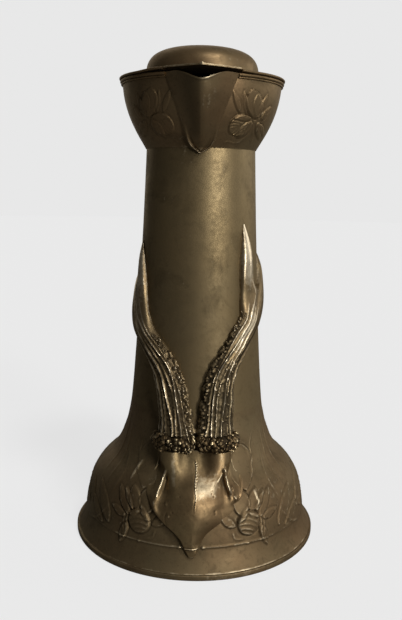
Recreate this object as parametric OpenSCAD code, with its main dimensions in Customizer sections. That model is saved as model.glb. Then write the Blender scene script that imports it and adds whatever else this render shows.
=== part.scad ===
// Tall lidded pewter ewer with a roebuck skull and antlers in relief.
// Origin on the axis at the resting plane, +Z up, spout towards -Y, handle towards +Y.

/* [Foot and bell] */
// Outer radius of the rolled edge of the foot
foot_r = 90; // [88:0.1:92]
// Height of the rolled edge of the foot
foot_h = 3.8; // [3:0.1:5]
// Width of the foot ring, from its inner to its outer edge
foot_ring_w = 11; // [9:0.5:14]
// Rounding of the foot's rolled edge
foot_round = 0.8; // [0.5:0.1:1.4]
// How far the bell's lower edge stands in from the rolled edge
foot_step = 1.5; // [1:0.1:3]
// Radius of the bell at the top of its plain foot band
ledge_r = 82.7; // [80:0.1:84]
// Height of the top of the plain foot band
ledge_z = 18.5; // [15:0.5:22]
// Radius of the bell half way up its shoulder
shoulder_r = 64.5; // [62:0.5:67]
// Height of the half-way point of the shoulder
shoulder_z = 59; // [56:0.5:62]
// Thickness of the base plate
base_t = 1.8; // [1.2:0.1:3]
// Wall thickness of bell, neck and bowl
wall = 2.2; // [1.6:0.1:3]

/* [Neck] */
// Radius of the neck where it leaves the bell
neck_low_r = 48.5; // [47:0.5:50]
// Height of the seam between bell and neck
neck_low_z = 102; // [98:1:106]
// Radius of the neck under the bowl
neck_top_r = 38.7; // [38:0.1:40]
// Height of the seam between neck and bowl
neck_top_z = 281.2; // [279:0.1:283]

/* [Bowl and rim] */
// How far the bowl's lower edge stands out over the neck
bowl_step = 0.5; // [0.4:0.1:1.5]
// Radius of the bowl under its rim
bowl_r = 55.5; // [54:0.5:57]
// Height of the bowl above the neck
bowl_h = 42.5; // [41:0.1:44]
// How far the rim's bead stands out over the bowl
rim_out = 1.8; // [1.3:0.1:3]
// Height of the rim's bead with the moulding under it
rim_h = 3.4; // [2.8:0.1:4.2]

/* [Spout] */
// Width of the spout's shield at the rim
spout_w = 49; // [46:0.5:52]
// Height of the shield from its lower tip to the rim
spout_h = 49.5; // [48:0.5:52]
// How far the keel stands out from the bowl at the lip
spout_prow = 13; // [10:0.5:16]
// Thickness of the shield
spout_wall = 1.6; // [1.2:0.1:2.2]
// Depth of the lip's dip at the keel
lip_dip = 5.4; // [4:0.2:7]
// Width of the cut in the bowl behind the shield
pour_cut_w = 36; // [32:1:38]

/* [Skull and burrs] */
// Width of the skull over its eye sockets
skull_w = 69; // [64:1:72]
// Height of the skull's lower tip above the resting plane
skull_low_z = 10.6; // [8:0.2:12]
// Height of the skull's upper edge, under the burrs
skull_top_z = 77.7; // [76:0.1:79]
// Relief of the skull over the bell
skull_relief = 8.5; // [6:0.5:10]
// Height of a burr
burr_h = 10; // [8:0.5:12]
// Width of a burr
burr_w = 28; // [25:0.5:29]
// How far a burr stands out
burr_out = 13; // [10:0.5:15]
// Angle of the left burr from the front
burr_left_angle = -14.6; // [-16:0.2:-14.4]
// Angle of the right burr from the front
burr_right_angle = 15.6; // [14.4:0.2:17]

/* [Antlers] */
// Height from the burrs to the tip of the right antler
antler_h = 142.7; // [138:0.1:147]
// Width of an antler's shaft over the burr
antler_w = 24; // [20:0.5:26]
// How far an antler's shaft stands out over the burr
antler_out = 9.5; // [7:0.5:11]

/* [Handle] */
// How far the handle reaches from the axis
handle_reach = 103; // [95:1:112]
// Width of the handle at its top
handle_w = 18; // [15:0.5:20]
// Thickness of the handle at its top
handle_t = 10; // [8:0.5:12]
// Space between the hinge's lug and the handle's upper boss
boss_under_lug = 2.4; // [1:0.1:5]
// Height of the handle's lower end
handle_low_z = 130; // [124:1:140]
// Width of the boss at the handle's upper end
boss_top_w = 26; // [22:1:30]
// Height of the boss at the handle's upper end
boss_top_h = 30; // [26:1:32]
// Width of the boss at the handle's lower end
boss_low_w = 22; // [18:1:26]
// Height of the boss at the handle's lower end
boss_low_h = 34; // [28:1:38]
// How far the bosses stand out
boss_out = 4; // [3:0.5:5]

/* [Lid] */
// How far the lid's brim stands out over the rim
brim_over = 0.6; // [0.2:0.1:1.6]
// Thickness of the brim
brim_t = 1.4; // [1.2:0.1:1.8]
// Width of the brim outside the dome
brim_w = 18.5; // [16:0.1:21]
// Height of the dome above the brim
dome_h = 21; // [18:0.2:25]
// Wall thickness of the dome
dome_wall = 1.8; // [1.4:0.1:2.4]
// Height of the collar that centres the lid in the mouth
collar_h = 5; // [4:0.5:6]
// Thickness of the collar
collar_t = 1.6; // [1.2:0.1:2.2]
// How far the beak reaches past the brim over the spout
beak_out = 6; // [4:0.5:8]
// How far the beak's front edge is arched up over the lip
beak_rise = 1.9; // [1:0.1:3]

/* [Hinge and thumbpiece] */
// Distance of the hinge pin behind the rim
hinge_out = 10.7; // [9.8:0.1:12.5]
// Height of the hinge pin's centre above the brim's top
hinge_lift = 1.3; // [1:0.1:2]
// Height of the lug that carries the fixed knuckle, measured down from the rim's top
lug_h = 11; // [8:0.5:12]
// Radius of the hinge knuckles
knuckle_r = 4.2; // [3.8:0.1:4.6]
// Width of the fixed knuckle in the middle
knuckle_mid_w = 10; // [8:0.5:12]
// Width of each of the lid's two knuckles
knuckle_side_w = 6.2; // [5:0.2:8]
// Radius of the hinge pin
pin_r = 1.5; // [1.2:0.1:1.8]
// Radius of the pin's riveted heads
pin_head_r = 2.4; // [2:0.1:3]
// Thickness of the strap that carries the lid's knuckles
strap_t = 3.2; // [2.6:0.1:3.8]
// Height of the thumbpiece above the strap
thumb_h = 22; // [18:0.5:24]
// Width of the thumbpiece at its widest
thumb_w = 20; // [16:0.5:24]
// Thickness of the thumbpiece
thumb_t = 3.4; // [2.8:0.1:4]

/* [Hidden] */
$fn = 96;

// Solder gap between castings that lie on each other
seat_gap = 0.3;
// Gap between the lid and what it closes on
lid_gap = 0.3;
// Gap between the collar and the mouth
collar_gap = 1.2;
// Radial running clearance of the pin
pin_gap = 0.05;
// Side gap between the knuckles
knuckle_gap = 0.4;
// Overrun of cuts
cut_over = 1;
// Edge thickness of the reliefs
relief_edge = 0.8;

// Colours
pewter = [0.33, 0.27, 0.18];
pewter_rubbed = [0.47, 0.4, 0.28];
pewter_dark = [0.24, 0.2, 0.14];
pin_grey = [0.4, 0.36, 0.29];

// Derived radii
rim_r = bowl_r + rim_out;
brim_r = rim_r + brim_over;
dome_r = brim_r - brim_w;
hinge_y = rim_r + hinge_out;

// Derived heights
bell_z = foot_h;
bowl_z = neck_top_z + seat_gap;
rim_z = bowl_z + bowl_h;
rim_top = rim_z + rim_h;
brim_z = rim_top + lid_gap;
brim_top = brim_z + brim_t;
hinge_z = brim_top + hinge_lift;
spout_top = rim_top - seat_gap;
spout_low = spout_top - spout_h;
handle_top_z = rim_top - lug_h - boss_under_lug - boss_top_h / 2;
burr_z = skull_top_z + seat_gap;
antler_z = burr_z + burr_h + seat_gap;

// Curve helpers
function bez3(a, b, c, t) = a * (1 - t) * (1 - t) + b * 2 * t * (1 - t) + c * t * t;
function bez4(a, b, c, d, t) = a * pow(1 - t, 3) + b * 3 * t * pow(1 - t, 2)
    + c * 3 * t * t * (1 - t) + d * pow(t, 3);
function curve3(a, b, c, n) = [for (i = [0:n]) bez3(a, b, c, i / n)];
function curve4(a, b, c, d, n) = [for (i = [0:n]) bez4(a, b, c, d, i / n)];
function spline_at(p, q, r, s, t) = 0.5 * (2 * q + (r - p) * t
    + (2 * p - 5 * q + 4 * r - s) * t * t + (3 * q - p - 3 * r + s) * pow(t, 3));
function knot(tab, i) = tab[max(0, min(len(tab) - 1, i))];
function spline(tab, s) = let (x = s * (len(tab) - 1), i = min(floor(x), len(tab) - 2))
    spline_at(knot(tab, i - 1), tab[i], tab[i + 1], knot(tab, i + 2), x - i);
function smooth(a, b, x) = let (t = max(0, min(1, (x - a) / (b - a)))) t * t * (3 - 2 * t);
function bump(x, y, cx, cy, sx, sy) = exp(-pow((x - cx) / sx, 2) - pow((y - cy) / sy, 2));
function drop_first(v) = [for (i = [1:len(v) - 1]) v[i]];
function reversed(v) = [for (i = [len(v) - 1:-1:0]) v[i]];

// Outlines as radius and height, from the foot upwards; control points hang on the named sizes
ledge_rise = ledge_z - bell_z;
shoulder_rise = shoulder_z - ledge_z;
shoulder_in = ledge_r - shoulder_r;
neck_rise = neck_low_z - shoulder_z;
neck_in = shoulder_r - neck_low_r;
bell_out = concat(
    curve3([foot_r - foot_step, bell_z], [ledge_r + 0.11 * ledge_rise, bell_z + 0.42 * ledge_rise],
        [ledge_r, ledge_z], 4),
    drop_first(curve4([ledge_r, ledge_z], [ledge_r - 0.08 * shoulder_in, ledge_z + 0.385 * shoulder_rise],
        [ledge_r - 0.285 * shoulder_in, ledge_z + 0.715 * shoulder_rise], [shoulder_r, shoulder_z], 10)),
    drop_first(curve4([shoulder_r, shoulder_z], [shoulder_r - 0.47 * neck_in, shoulder_z + 0.155 * neck_rise],
        [neck_low_r + 0.125 * neck_in, shoulder_z + 0.535 * neck_rise], [neck_low_r, neck_low_z], 9)));
neck_h = neck_top_z - neck_low_z;
neck_taper = neck_low_r - neck_top_r;
neck_out = curve4([neck_low_r, neck_low_z + seat_gap],
    [neck_low_r - 0.29 * neck_taper, neck_low_z + 0.147 * neck_h],
    [neck_top_r + 0.22 * neck_taper, neck_low_z + 0.667 * neck_h], [neck_top_r, neck_top_z], 12);
bowl_low_r = neck_top_r + bowl_step;
bowl_flare = bowl_r - bowl_low_r;
bowl_out = curve4([bowl_low_r, bowl_z], [bowl_low_r + 0.2 * bowl_flare, bowl_z + 0.145 * bowl_h],
    [bowl_r - 0.09 * bowl_flare, bowl_z + 0.5 * bowl_h], [bowl_r, rim_z], 12);

// Outer radius of bell and neck, and of the bowl, at a height
body_table = [for (p = concat(bell_out, neck_out)) [p[1], p[0]]];
bowl_table = [for (p = bowl_out) [p[1], p[0]]];
function body_r(z) = lookup(z, body_table);
function bowl_at(z) = lookup(z, bowl_table);

// Closed outline of a shell: the outer curve and the same curve moved in by the wall
function inward(pts, i, t) = let (a = pts[max(0, i - 1)], b = pts[min(len(pts) - 1, i + 1)],
    d = (b - a) / norm(b - a)) pts[i] + [-d[1], d[0]] * t;
function level(p, z) = [p[0], z];
function shell_outline(pts, t) = let (n = len(pts) - 1, ins = [for (i = [0:n]) inward(pts, i, t)])
    concat(pts, [level(ins[n], pts[n][1])], [for (i = [n - 1:-1:1]) ins[i]], [level(ins[0], pts[0][1])]);
module revolve(outline, start = 0, sweep = 360) {
    rotate([0, 0, start]) rotate_extrude(angle = sweep) polygon(outline);
}

// Faces of solids that are closed from a front grid and a back grid of point numbers
function front_faces(g) = [for (i = [0:len(g) - 2], j = [0:len(g[0]) - 2])
    each [[g[i][j], g[i + 1][j], g[i + 1][j + 1]], [g[i][j], g[i + 1][j + 1], g[i][j + 1]]]];
function back_faces(g) = [for (f = front_faces(g)) [f[0], f[2], f[1]]];
function left_faces(f, b) = [for (i = [0:len(f) - 2])
    each [[f[i + 1][0], f[i][0], b[i][0]], [f[i + 1][0], b[i][0], b[i + 1][0]]]];
function right_faces(f, b) = let (e = len(f[0]) - 1) [for (i = [0:len(f) - 2])
    each [[f[i][e], f[i + 1][e], b[i + 1][e]], [f[i][e], b[i + 1][e], b[i][e]]]];
function low_faces(f, b) = [for (j = [0:len(f[0]) - 2])
    each [[f[0][j], f[0][j + 1], b[0][j + 1]], [f[0][j], b[0][j + 1], b[0][j]]]];
function top_faces(f, b) = let (m = len(f) - 1) [for (j = [0:len(f[0]) - 2])
    each [[f[m][j + 1], f[m][j], b[m][j]], [f[m][j + 1], b[m][j], b[m][j + 1]]]];
function grid_numbers(rows, cols, first) = [for (i = [0:rows - 1])
    [for (j = [0:cols - 1]) first + i * cols + j]];
function flat(g) = [for (r = g) each r];
module closed_patch(front, back) {
    rows = len(front);
    cols = len(front[0]);
    f = grid_numbers(rows, cols, 0);
    b = grid_numbers(rows, cols, rows * cols);
    polyhedron(concat(flat(front), flat(back)), concat(front_faces(f), back_faces(b), left_faces(f, b),
        right_faces(f, b), low_faces(f, b), top_faces(f, b)), convexity = 6);
}

// A point at an angle from the front and a height, lifted off bell or neck
function on_body(angle, z, lift) = let (r = body_r(z) + lift) [r * sin(angle), -r * cos(angle), z];
function arc_angle(x, r) = x / r * 180 / PI;

// Foot ring with a rounded outer edge and a flat resting face
module foot_ring() {
    inner = foot_r - foot_ring_w;
    low = [for (i = [0:6]) [foot_r - foot_round + foot_round * sin(15 * i),
        foot_round - foot_round * cos(15 * i)]];
    high = [for (i = [0:6]) [foot_r - foot_round + foot_round * cos(15 * i),
        foot_h - foot_round + foot_round * sin(15 * i)]];
    color(pewter) revolve(concat([[inner, 0]], low, high, [[inner, foot_h]]));
}

// Base plate, let into the lower end of the bell; its edge keeps clear of the bell's leaning inner face
bell_in_table = [for (i = [0:len(bell_out) - 1]) let (p = inward(bell_out, i, wall))
    [i == 0 ? bell_z : max(bell_z, p[1]), p[0]]];
module base_plate() {
    color(pewter_dark) translate([0, 0, foot_h])
        cylinder(h = base_t, r = lookup(foot_h + base_t, bell_in_table) - seat_gap);
}

module bell() {
    color(pewter) revolve(shell_outline(bell_out, wall));
}

module neck() {
    color(pewter) revolve(shell_outline(neck_out, wall));
}

// Bowl, cut open in a narrowing notch behind the spout
cut_high_share = 0.16;
cut_low_share = 0.24;
module bowl() {
    cut_low = bowl_z + cut_high_share * bowl_h;
    low_w = cut_low_share * pour_cut_w;
    color(pewter) difference() {
        revolve(shell_outline(bowl_out, wall));
        rotate([90, 0, 0]) linear_extrude(bowl_r + cut_over) polygon([[-low_w / 2, cut_low],
            [low_w / 2, cut_low], [pour_cut_w / 2, rim_z], [pour_cut_w / 2, rim_z + cut_over],
            [-pour_cut_w / 2, rim_z + cut_over], [-pour_cut_w / 2, rim_z]]);
    }
}

// Rim: a large bead over a small moulding, left open at the spout
spout_side_angle = asin(spout_w / 2 / (bowl_r + spout_wall)) + arc_angle(2 * seat_gap, bowl_r);
module rim_bead() {
    big = 0.32 * rim_h;
    small = 0.18 * rim_h;
    inner = bowl_r - wall;
    core = rim_r - big;
    low_c = [core + big - 2 * small, rim_z + small];
    top_c = [core, rim_top - big];
    low = [for (a = [-90:22.5:90]) low_c + small * [cos(a), sin(a)]];
    high = [for (a = [-67.5:22.5:90]) top_c + big * [cos(a), sin(a)]];
    color(pewter_rubbed) revolve(concat([[inner, rim_z]], low, high, [[inner, rim_top]]),
        spout_side_angle - 90, 360 - 2 * spout_side_angle);
}

// Spout: a keeled shield over the notch in the bowl
spout_outline_share = [[0, 0.03], [0.04, 0.16], [0.09, 0.28], [0.15, 0.36], [0.22, 0.41], [0.32, 0.465],
    [0.43, 0.53], [0.6, 0.66], [0.725, 0.765], [0.86, 0.855], [0.94, 0.925], [1, 1]];
spout_rows = 18;
spout_cols = 16;
function spout_half(s) = lookup(s, spout_outline_share) * spout_w / 2;
function spout_seat(z) = bowl_at(max(z, bowl_z)) + seat_gap;
function spout_keel(s) = spout_prow * (0.15 + 0.85 * pow(s, 0.8));
function lip_drop(u) = lip_dip * (1 - smooth(0, 0.72, abs(u)));
function spout_point(s, u, edge, keel) = let (z = spout_low + s * (spout_h - lip_drop(u)),
    sz = (z - spout_low) / spout_h, r = spout_seat(z) + edge, w = spout_half(sz),
    side = [w * sign(u), -sqrt(r * r - w * w)], prow = [0, -spout_seat(z) - keel * spout_keel(sz)],
    q = side * abs(u) + prow * (1 - abs(u))) [q[0], q[1], z];
function spout_inner(s, u) = let (z = spout_low + s * (spout_h - lip_drop(u)),
    sz = (z - spout_low) / spout_h, r = spout_seat(z), w = spout_half(sz),
    side = [w * sign(u), -sqrt(r * r - w * w)],
    prow = [0, -r - max(0.05 * spout_prow, spout_keel(sz) - 1.25 * spout_wall)],
    q = side * abs(u) + prow * (1 - abs(u))) [q[0], q[1], z];
module spout() {
    rows = [for (i = [0:spout_rows]) pow(i / spout_rows, 1.25)];
    cols = [for (j = [0:spout_cols]) 2 * j / spout_cols - 1];
    color(pewter) closed_patch([for (s = rows) [for (u = cols) spout_point(s, u, spout_wall, 1)]],
        [for (s = rows) [for (u = cols) spout_inner(s, u)]]);
}

// Skull: relief over bell and shoulder; widths and forms are shares of its width, height and relief
skull_outline_share = [[0, 0.03], [0.066, 0.1], [0.14, 0.17], [0.234, 0.27], [0.31, 0.47], [0.384, 0.66],
    [0.469, 0.83], [0.581, 0.97], [0.703, 1], [0.815, 0.93], [0.937, 0.86], [1, 0.84]];
skull_rows = 26;
skull_cols = 26;
function skull_half(v) = lookup(v, skull_outline_share) * skull_w / 2;
function skull_nose(u, v) = 0.5 * smooth(0, 0.19, v) * (1 - 0.75 * smooth(0.47, 0.7, v))
    * exp(-pow(abs(u) / (0.1 + 0.45 * v), 4));
function skull_dome(u, v) = 0.62 * bump(abs(u), v, 0.31, 0.656, 0.3, 0.19);
function skull_brow(u, v) = let (c = 0.58 + 0.8 * (0.825 - v))
    0.36 * exp(-pow((abs(u) - c) / 0.11, 2)) * smooth(0.515, 0.62, v) * (1 - smooth(0.77, 0.865, v));
function skull_cheek(u, v) = 0.36 * bump(abs(u), v, 0.8, 0.58, 0.14, 0.08);
function skull_socket(u, v) = -0.1 * bump(abs(u), v, 0.8, 0.75, 0.12, 0.1);
function skull_stem(u, v) = 0.95 * sqrt(max(0, 1 - pow((abs(u) - 0.4) / 0.36, 2))) * smooth(0.7, 0.92, v);
function skull_suture(u, v) = 0.07 * exp(-pow(u / 0.05, 2)) * smooth(0.515, 0.656, v);
function skull_form(u, v) = skull_nose(u, v) + max(skull_dome(u, v) + skull_suture(u, v), skull_stem(u, v))
    + skull_brow(u, v) + skull_cheek(u, v) + skull_socket(u, v);
function skull_point(v, t, front) = let (z = skull_low_z + v * (skull_top_z - skull_low_z),
    x = t * skull_half(v), fall = 1 - smooth(0.86, 1, abs(t)),
    lift = front ? relief_edge + fall * skull_relief * skull_form(2 * x / skull_w, v) : 0)
    on_body(arc_angle(x, body_r(z)), z, seat_gap + lift);
function skull_grid(front) = [for (i = [0:skull_rows])
    [for (j = [0:skull_cols]) skull_point(i / skull_rows, 2 * j / skull_cols - 1, front)]];
module skull() { color(pewter_rubbed) closed_patch(skull_grid(true), skull_grid(false)); }

// Burrs: short rings of pearls round the foot of each antler
burr_rows = 7;
burr_cols = 22;
function burr_swell(v) = 0.84 + 0.16 * sin(180 * v);
function burr_pearl(v, a) = 1 + 0.07 * sin(11 * a) * sin(360 * v * 1.5 + 40) + 0.04 * sin(17 * a + 200 * v);
function burr_point(angle, v, a, front) = let (z = burr_z + v * burr_h, k = burr_swell(v),
    w = burr_w / 2 * k, x = -w * cos(a),
    lift = front ? relief_edge + (burr_out - relief_edge) * k * pow(sin(a), 0.8) * burr_pearl(v, a) : 0)
    on_body(angle + arc_angle(x, body_r(z)), z, seat_gap + lift);
function burr_grid(angle, front) = [for (i = [0:burr_rows])
    [for (j = [0:burr_cols]) burr_point(angle, i / burr_rows, 180 * j / burr_cols, front)]];
module burr(angle) { color(pewter_dark) closed_patch(burr_grid(angle, true), burr_grid(angle, false)); }
module burr_left() { burr(burr_left_angle); }
module burr_right() { burr(burr_right_angle); }

// Antlers: D-shaped sections along a path on the neck, with a fork near the top
// Each knot gives a share of the height, an angle from the front, a share of the width and one of the relief
left_beam_share = [[0, -14.6, 1, 1], [0.061, -16, 0.88, 0.9], [0.148, -18.5, 0.86, 0.86],
    [0.235, -22, 0.83, 0.84], [0.317, -28, 0.77, 0.8], [0.388, -38, 0.68, 0.76],
    [0.45, -50, 0.66, 0.72], [0.506, -61, 0.9, 0.66], [0.562, -70, 1.14, 0.6]];
left_front_share = [[0.619, -64, 0.5, 0.56], [0.69, -66.5, 0.44, 0.52], [0.762, -70, 0.34, 0.44],
    [0.828, -74.5, 0.22, 0.3], [0.887, -80, 0.05, 0.06]];
left_rear_share = [[0.619, -90, 0.46, 0.5], [0.69, -99, 0.36, 0.42], [0.757, -107, 0.22, 0.28],
    [0.808, -114, 0.05, 0.06]];
right_beam_share = [[0, 15.6, 1, 1], [0.061, 16.5, 0.92, 0.9], [0.148, 17.5, 0.9, 0.88],
    [0.225, 19, 0.84, 0.85], [0.296, 22.5, 0.76, 0.8], [0.368, 29.5, 0.7, 0.76],
    [0.445, 39, 0.72, 0.74], [0.521, 51, 0.82, 0.7], [0.598, 60, 1.25, 0.64],
    [0.665, 67.5, 1.6, 0.57]];
right_front_share = [[0.713, 51.5, 0.49, 0.55], [0.782, 51.3, 0.43, 0.52], [0.859, 51.2, 0.36, 0.46],
    [0.936, 50, 0.22, 0.28], [1, 48.7, 0.05, 0.06]];
right_rear_share = [[0.713, 89, 0.53, 0.5], [0.772, 97, 0.42, 0.42], [0.828, 104, 0.25, 0.28],
    [0.874, 109, 0.05, 0.06]];
antler_cols = 16;
beam_rows = 26;
tine_rows = 10;
function knot_place(k) = [antler_z + k[0] * antler_h, k[1], k[2] * antler_w / 2, k[3] * antler_out];
// Heading of a path in the unrolled surface, as a unit vector of arc and height
function heading(tab, s, shaft) = let (d = 0.5 / len(tab), a = spline(tab, max(0, s - d)),
    b = spline(tab, min(1, s + d)), arc = (b[1] - a[1]) * PI / 180 * body_r(spline(tab, s)[0]),
    v = [arc, b[0] - a[0]] / norm([arc, b[0] - a[0]]),
    k = shaft ? smooth(0, 0.2, s) * (1 - 0.85 * smooth(0.7, 1, s)) : 1, w = [v[0] * k, v[1]]) w / norm(w);
// Long grooves, and pearls along the inner edge of the shaft's lower part
function groove(a, s) = 1 + 0.07 * cos(4.5 * 2 * a) * (1 - smooth(0.75, 0.95, s));
function pearls(s) = 0.24 * pow(abs(sin(1100 * s)), 1.5) * smooth(0.04, 0.12, s)
    * (1 - smooth(0.66, 0.82, s));
// A place on an antler as angle, height and lift over the body
function antler_place(p, h, a, s, inner_side, beam, valley, front) =
    let (side = -cos(a) * inner_side, grow = beam && side > 0 ? 1 + pearls(s) * side : 1,
    x = -p[2] * cos(a) * grow, z = p[0] - x * h[0], angle = p[1] + arc_angle(x * h[1], body_r(z)),
    form = pow(sin(a), 0.8) * (beam ? groove(a, s) : 1) * (1 - valley * exp(-pow(cos(a) / 0.25, 2))),
    edge = relief_edge * min(1, 2 * p[3] / antler_out + 0.2),
    lift = front ? edge + max(0, p[3] - relief_edge) * form : 0) [angle, z, seat_gap + lift];
function beam_row(tab, s, side, front) = let (p = spline(tab, s), h = heading(tab, s, true))
    [for (j = [0:antler_cols])
    antler_place(p, h, 180 * j / antler_cols, s, side, true, 0.45 * smooth(0.8, 1, s), front)];
function beam_grid(tab, side, front) = [for (i = [0:beam_rows])
    [for (q = beam_row(tab, i / beam_rows, side, front)) on_body(q[0], q[1], q[2])]];
// A tine starts from its half of the shaft's last row and grows into its own round section
function tine_grid(beam, side, tab, start, front) = let (fork = beam_row(beam, 1, side, front))
    [for (i = [1:tine_rows]) let (s = i / tine_rows, p = spline(tab, s), h = heading(tab, s, false),
    k = smooth(-0.1, 0.42, s)) [for (j = [0:antler_cols / 2])
    let (q = antler_place(p, h, 360 * j / antler_cols, s, 1, false, 0, front),
    m = fork[start + j] * (1 - k) + q * k) on_body(m[0], m[1], m[2])]];
// The knot in the middle of one half of the shaft's last row
function fork_knot(tab, half) = let (p = tab[len(tab) - 1], h = heading(tab, 1, true), x = half * p[2] / 2)
    [p[0] - x * h[0], p[1] + arc_angle(x * h[1], body_r(p[0])), p[2] / 2, p[3]];
function with_first(row, rows) = concat([row], rows);
function part_of(row, a, b) = [for (j = [a:b]) row[j]];
// low_tine lies on the side of smaller angles, high_tine on that of larger ones
module antler(beam, low_tine, high_tine, side) {
    low = with_first(fork_knot(beam, -1), low_tine);
    high = with_first(fork_knot(beam, 1), high_tine);
    n = antler_cols;
    k = n / 2;
    beam_n = (beam_rows + 1) * (n + 1);
    tine_n = tine_rows * (k + 1);
    fb = grid_numbers(beam_rows + 1, n + 1, 0);
    bb = grid_numbers(beam_rows + 1, n + 1, beam_n);
    fl = with_first(part_of(fb[beam_rows], 0, k), grid_numbers(tine_rows, k + 1, 2 * beam_n));
    bl = with_first(part_of(bb[beam_rows], 0, k), grid_numbers(tine_rows, k + 1, 2 * beam_n + tine_n));
    fh = with_first(part_of(fb[beam_rows], k, n), grid_numbers(tine_rows, k + 1, 2 * beam_n + 2 * tine_n));
    bh = with_first(part_of(bb[beam_rows], k, n), grid_numbers(tine_rows, k + 1, 2 * beam_n + 3 * tine_n));
    points = concat(flat(beam_grid(beam, side, true)), flat(beam_grid(beam, side, false)),
        flat(tine_grid(beam, side, low, 0, true)), flat(tine_grid(beam, side, low, 0, false)),
        flat(tine_grid(beam, side, high, k, true)), flat(tine_grid(beam, side, high, k, false)));
    faces = concat(front_faces(fb), back_faces(bb), left_faces(fb, bb), right_faces(fb, bb),
        low_faces(fb, bb), front_faces(fl), back_faces(bl), left_faces(fl, bl), right_faces(fl, bl),
        top_faces(fl, bl), front_faces(fh), back_faces(bh), left_faces(fh, bh), right_faces(fh, bh),
        top_faces(fh, bh));
    color(pewter_rubbed) polyhedron(points, faces, convexity = 8);
}
function places(tab) = [for (k = tab) knot_place(k)];
module antler_left() {
    antler(places(left_beam_share), places(left_rear_share), places(left_front_share), 1);
}
module antler_right() {
    antler(places(right_beam_share), places(right_front_share), places(right_rear_share), -1);
}

// Bosses: domed leaves on the back of bowl and neck that carry the handle's ends
boss_steps = 10;
function boss_lift(u, v, out) = relief_edge
    + (out - relief_edge) * pow(max(0, 1 - u * u), 0.7) * pow(max(0, 1 - v * v), 0.7);
function boss_half(v) = 0.35 + 0.65 * sqrt(max(0, 1 - v * v));
// Front faces of the bosses over a point beside the middle plane
function boss_face(x, v, r, half_w) = let (u = min(1, abs(x) / (half_w * boss_half(v))),
    reach = r + seat_gap + boss_lift(u, v, boss_out)) sqrt(reach * reach - x * x);
function boss_top_face(x, z) = boss_face(x, 2 * (z - handle_top_z) / boss_top_h, bowl_at(z), boss_top_w / 2);
function boss_low_face(x, z) = boss_face(x, 2 * (z - handle_low_z) / boss_low_h, body_r(z), boss_low_w / 2);
function boss_low_point(u, v, front) = let (z = handle_low_z + v * boss_low_h / 2,
    x = u * boss_low_w / 2 * boss_half(v), lift = front ? boss_lift(u, v, boss_out) : 0)
    on_body(180 + arc_angle(x, body_r(z)), z, seat_gap + lift);
function boss_top_point(u, v, front) = let (z = handle_top_z + v * boss_top_h / 2,
    r = bowl_at(z) + seat_gap + (front ? boss_lift(u, v, boss_out) : 0),
    a = arc_angle(u * boss_top_w / 2 * boss_half(v), r)) [-r * sin(a), r * cos(a), z];
module handle_lower_boss() {
    steps = [for (i = [0:boss_steps]) 2 * i / boss_steps - 1];
    color(pewter) closed_patch([for (v = steps) [for (u = steps) boss_low_point(u, v, true)]],
        [for (v = steps) [for (u = steps) boss_low_point(u, v, false)]]);
}
module handle_upper_boss() {
    steps = [for (i = [0:boss_steps]) 2 * i / boss_steps - 1];
    color(pewter) closed_patch([for (v = steps) [for (u = steps) boss_top_point(u, v, true)]],
        [for (v = steps) [for (u = steps) boss_top_point(u, v, false)]]);
}

// Handle: an oval bar along a curve behind the bowl and neck
handle_rows = 40;
handle_cols = 14;
handle_top_y = bowl_at(handle_top_z) + boss_out + 2 * seat_gap;
handle_low_y = body_r(handle_low_z) + boss_out + 2 * seat_gap;
handle_drop = handle_top_z - handle_low_z;
handle_high_z = handle_top_z + 0.07 * handle_drop;
handle_mid_z = handle_top_z - 0.32 * handle_drop;
handle_turn_z = handle_top_z - 0.68 * handle_drop;
handle_top_turn_y = handle_top_y + 0.3 * (handle_reach - handle_top_y);
handle_low_turn_y = handle_low_y + 0.55 * (handle_reach - handle_low_y);
function handle_path(t) = t < 0.5
    ? bez4([handle_top_y, handle_top_z], [handle_top_turn_y, handle_high_z], [handle_reach, handle_high_z],
        [handle_reach, handle_mid_z], 2 * t)
    : bez4([handle_reach, handle_mid_z], [handle_reach, handle_turn_z],
        [handle_low_turn_y, handle_low_z + 0.1 * handle_drop], [handle_low_y, handle_low_z], 2 * t - 1);
function handle_dir(t) = let (d = 0.002, a = handle_path(max(0, t - d)), b = handle_path(min(1, t + d)))
    (b - a) / norm(b - a);
function handle_size(t) = 1 - 0.3 * t + 0.12 * pow(abs(2 * t - 1), 6);
function handle_ring(t, a) = let (c = handle_path(t), d = handle_dir(t), k = handle_size(t),
    x = k * handle_w / 2 * cos(a), n = k * handle_t / 2 * sin(a)) [x, c[0] + n * d[1], c[1] - n * d[0]];
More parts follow.
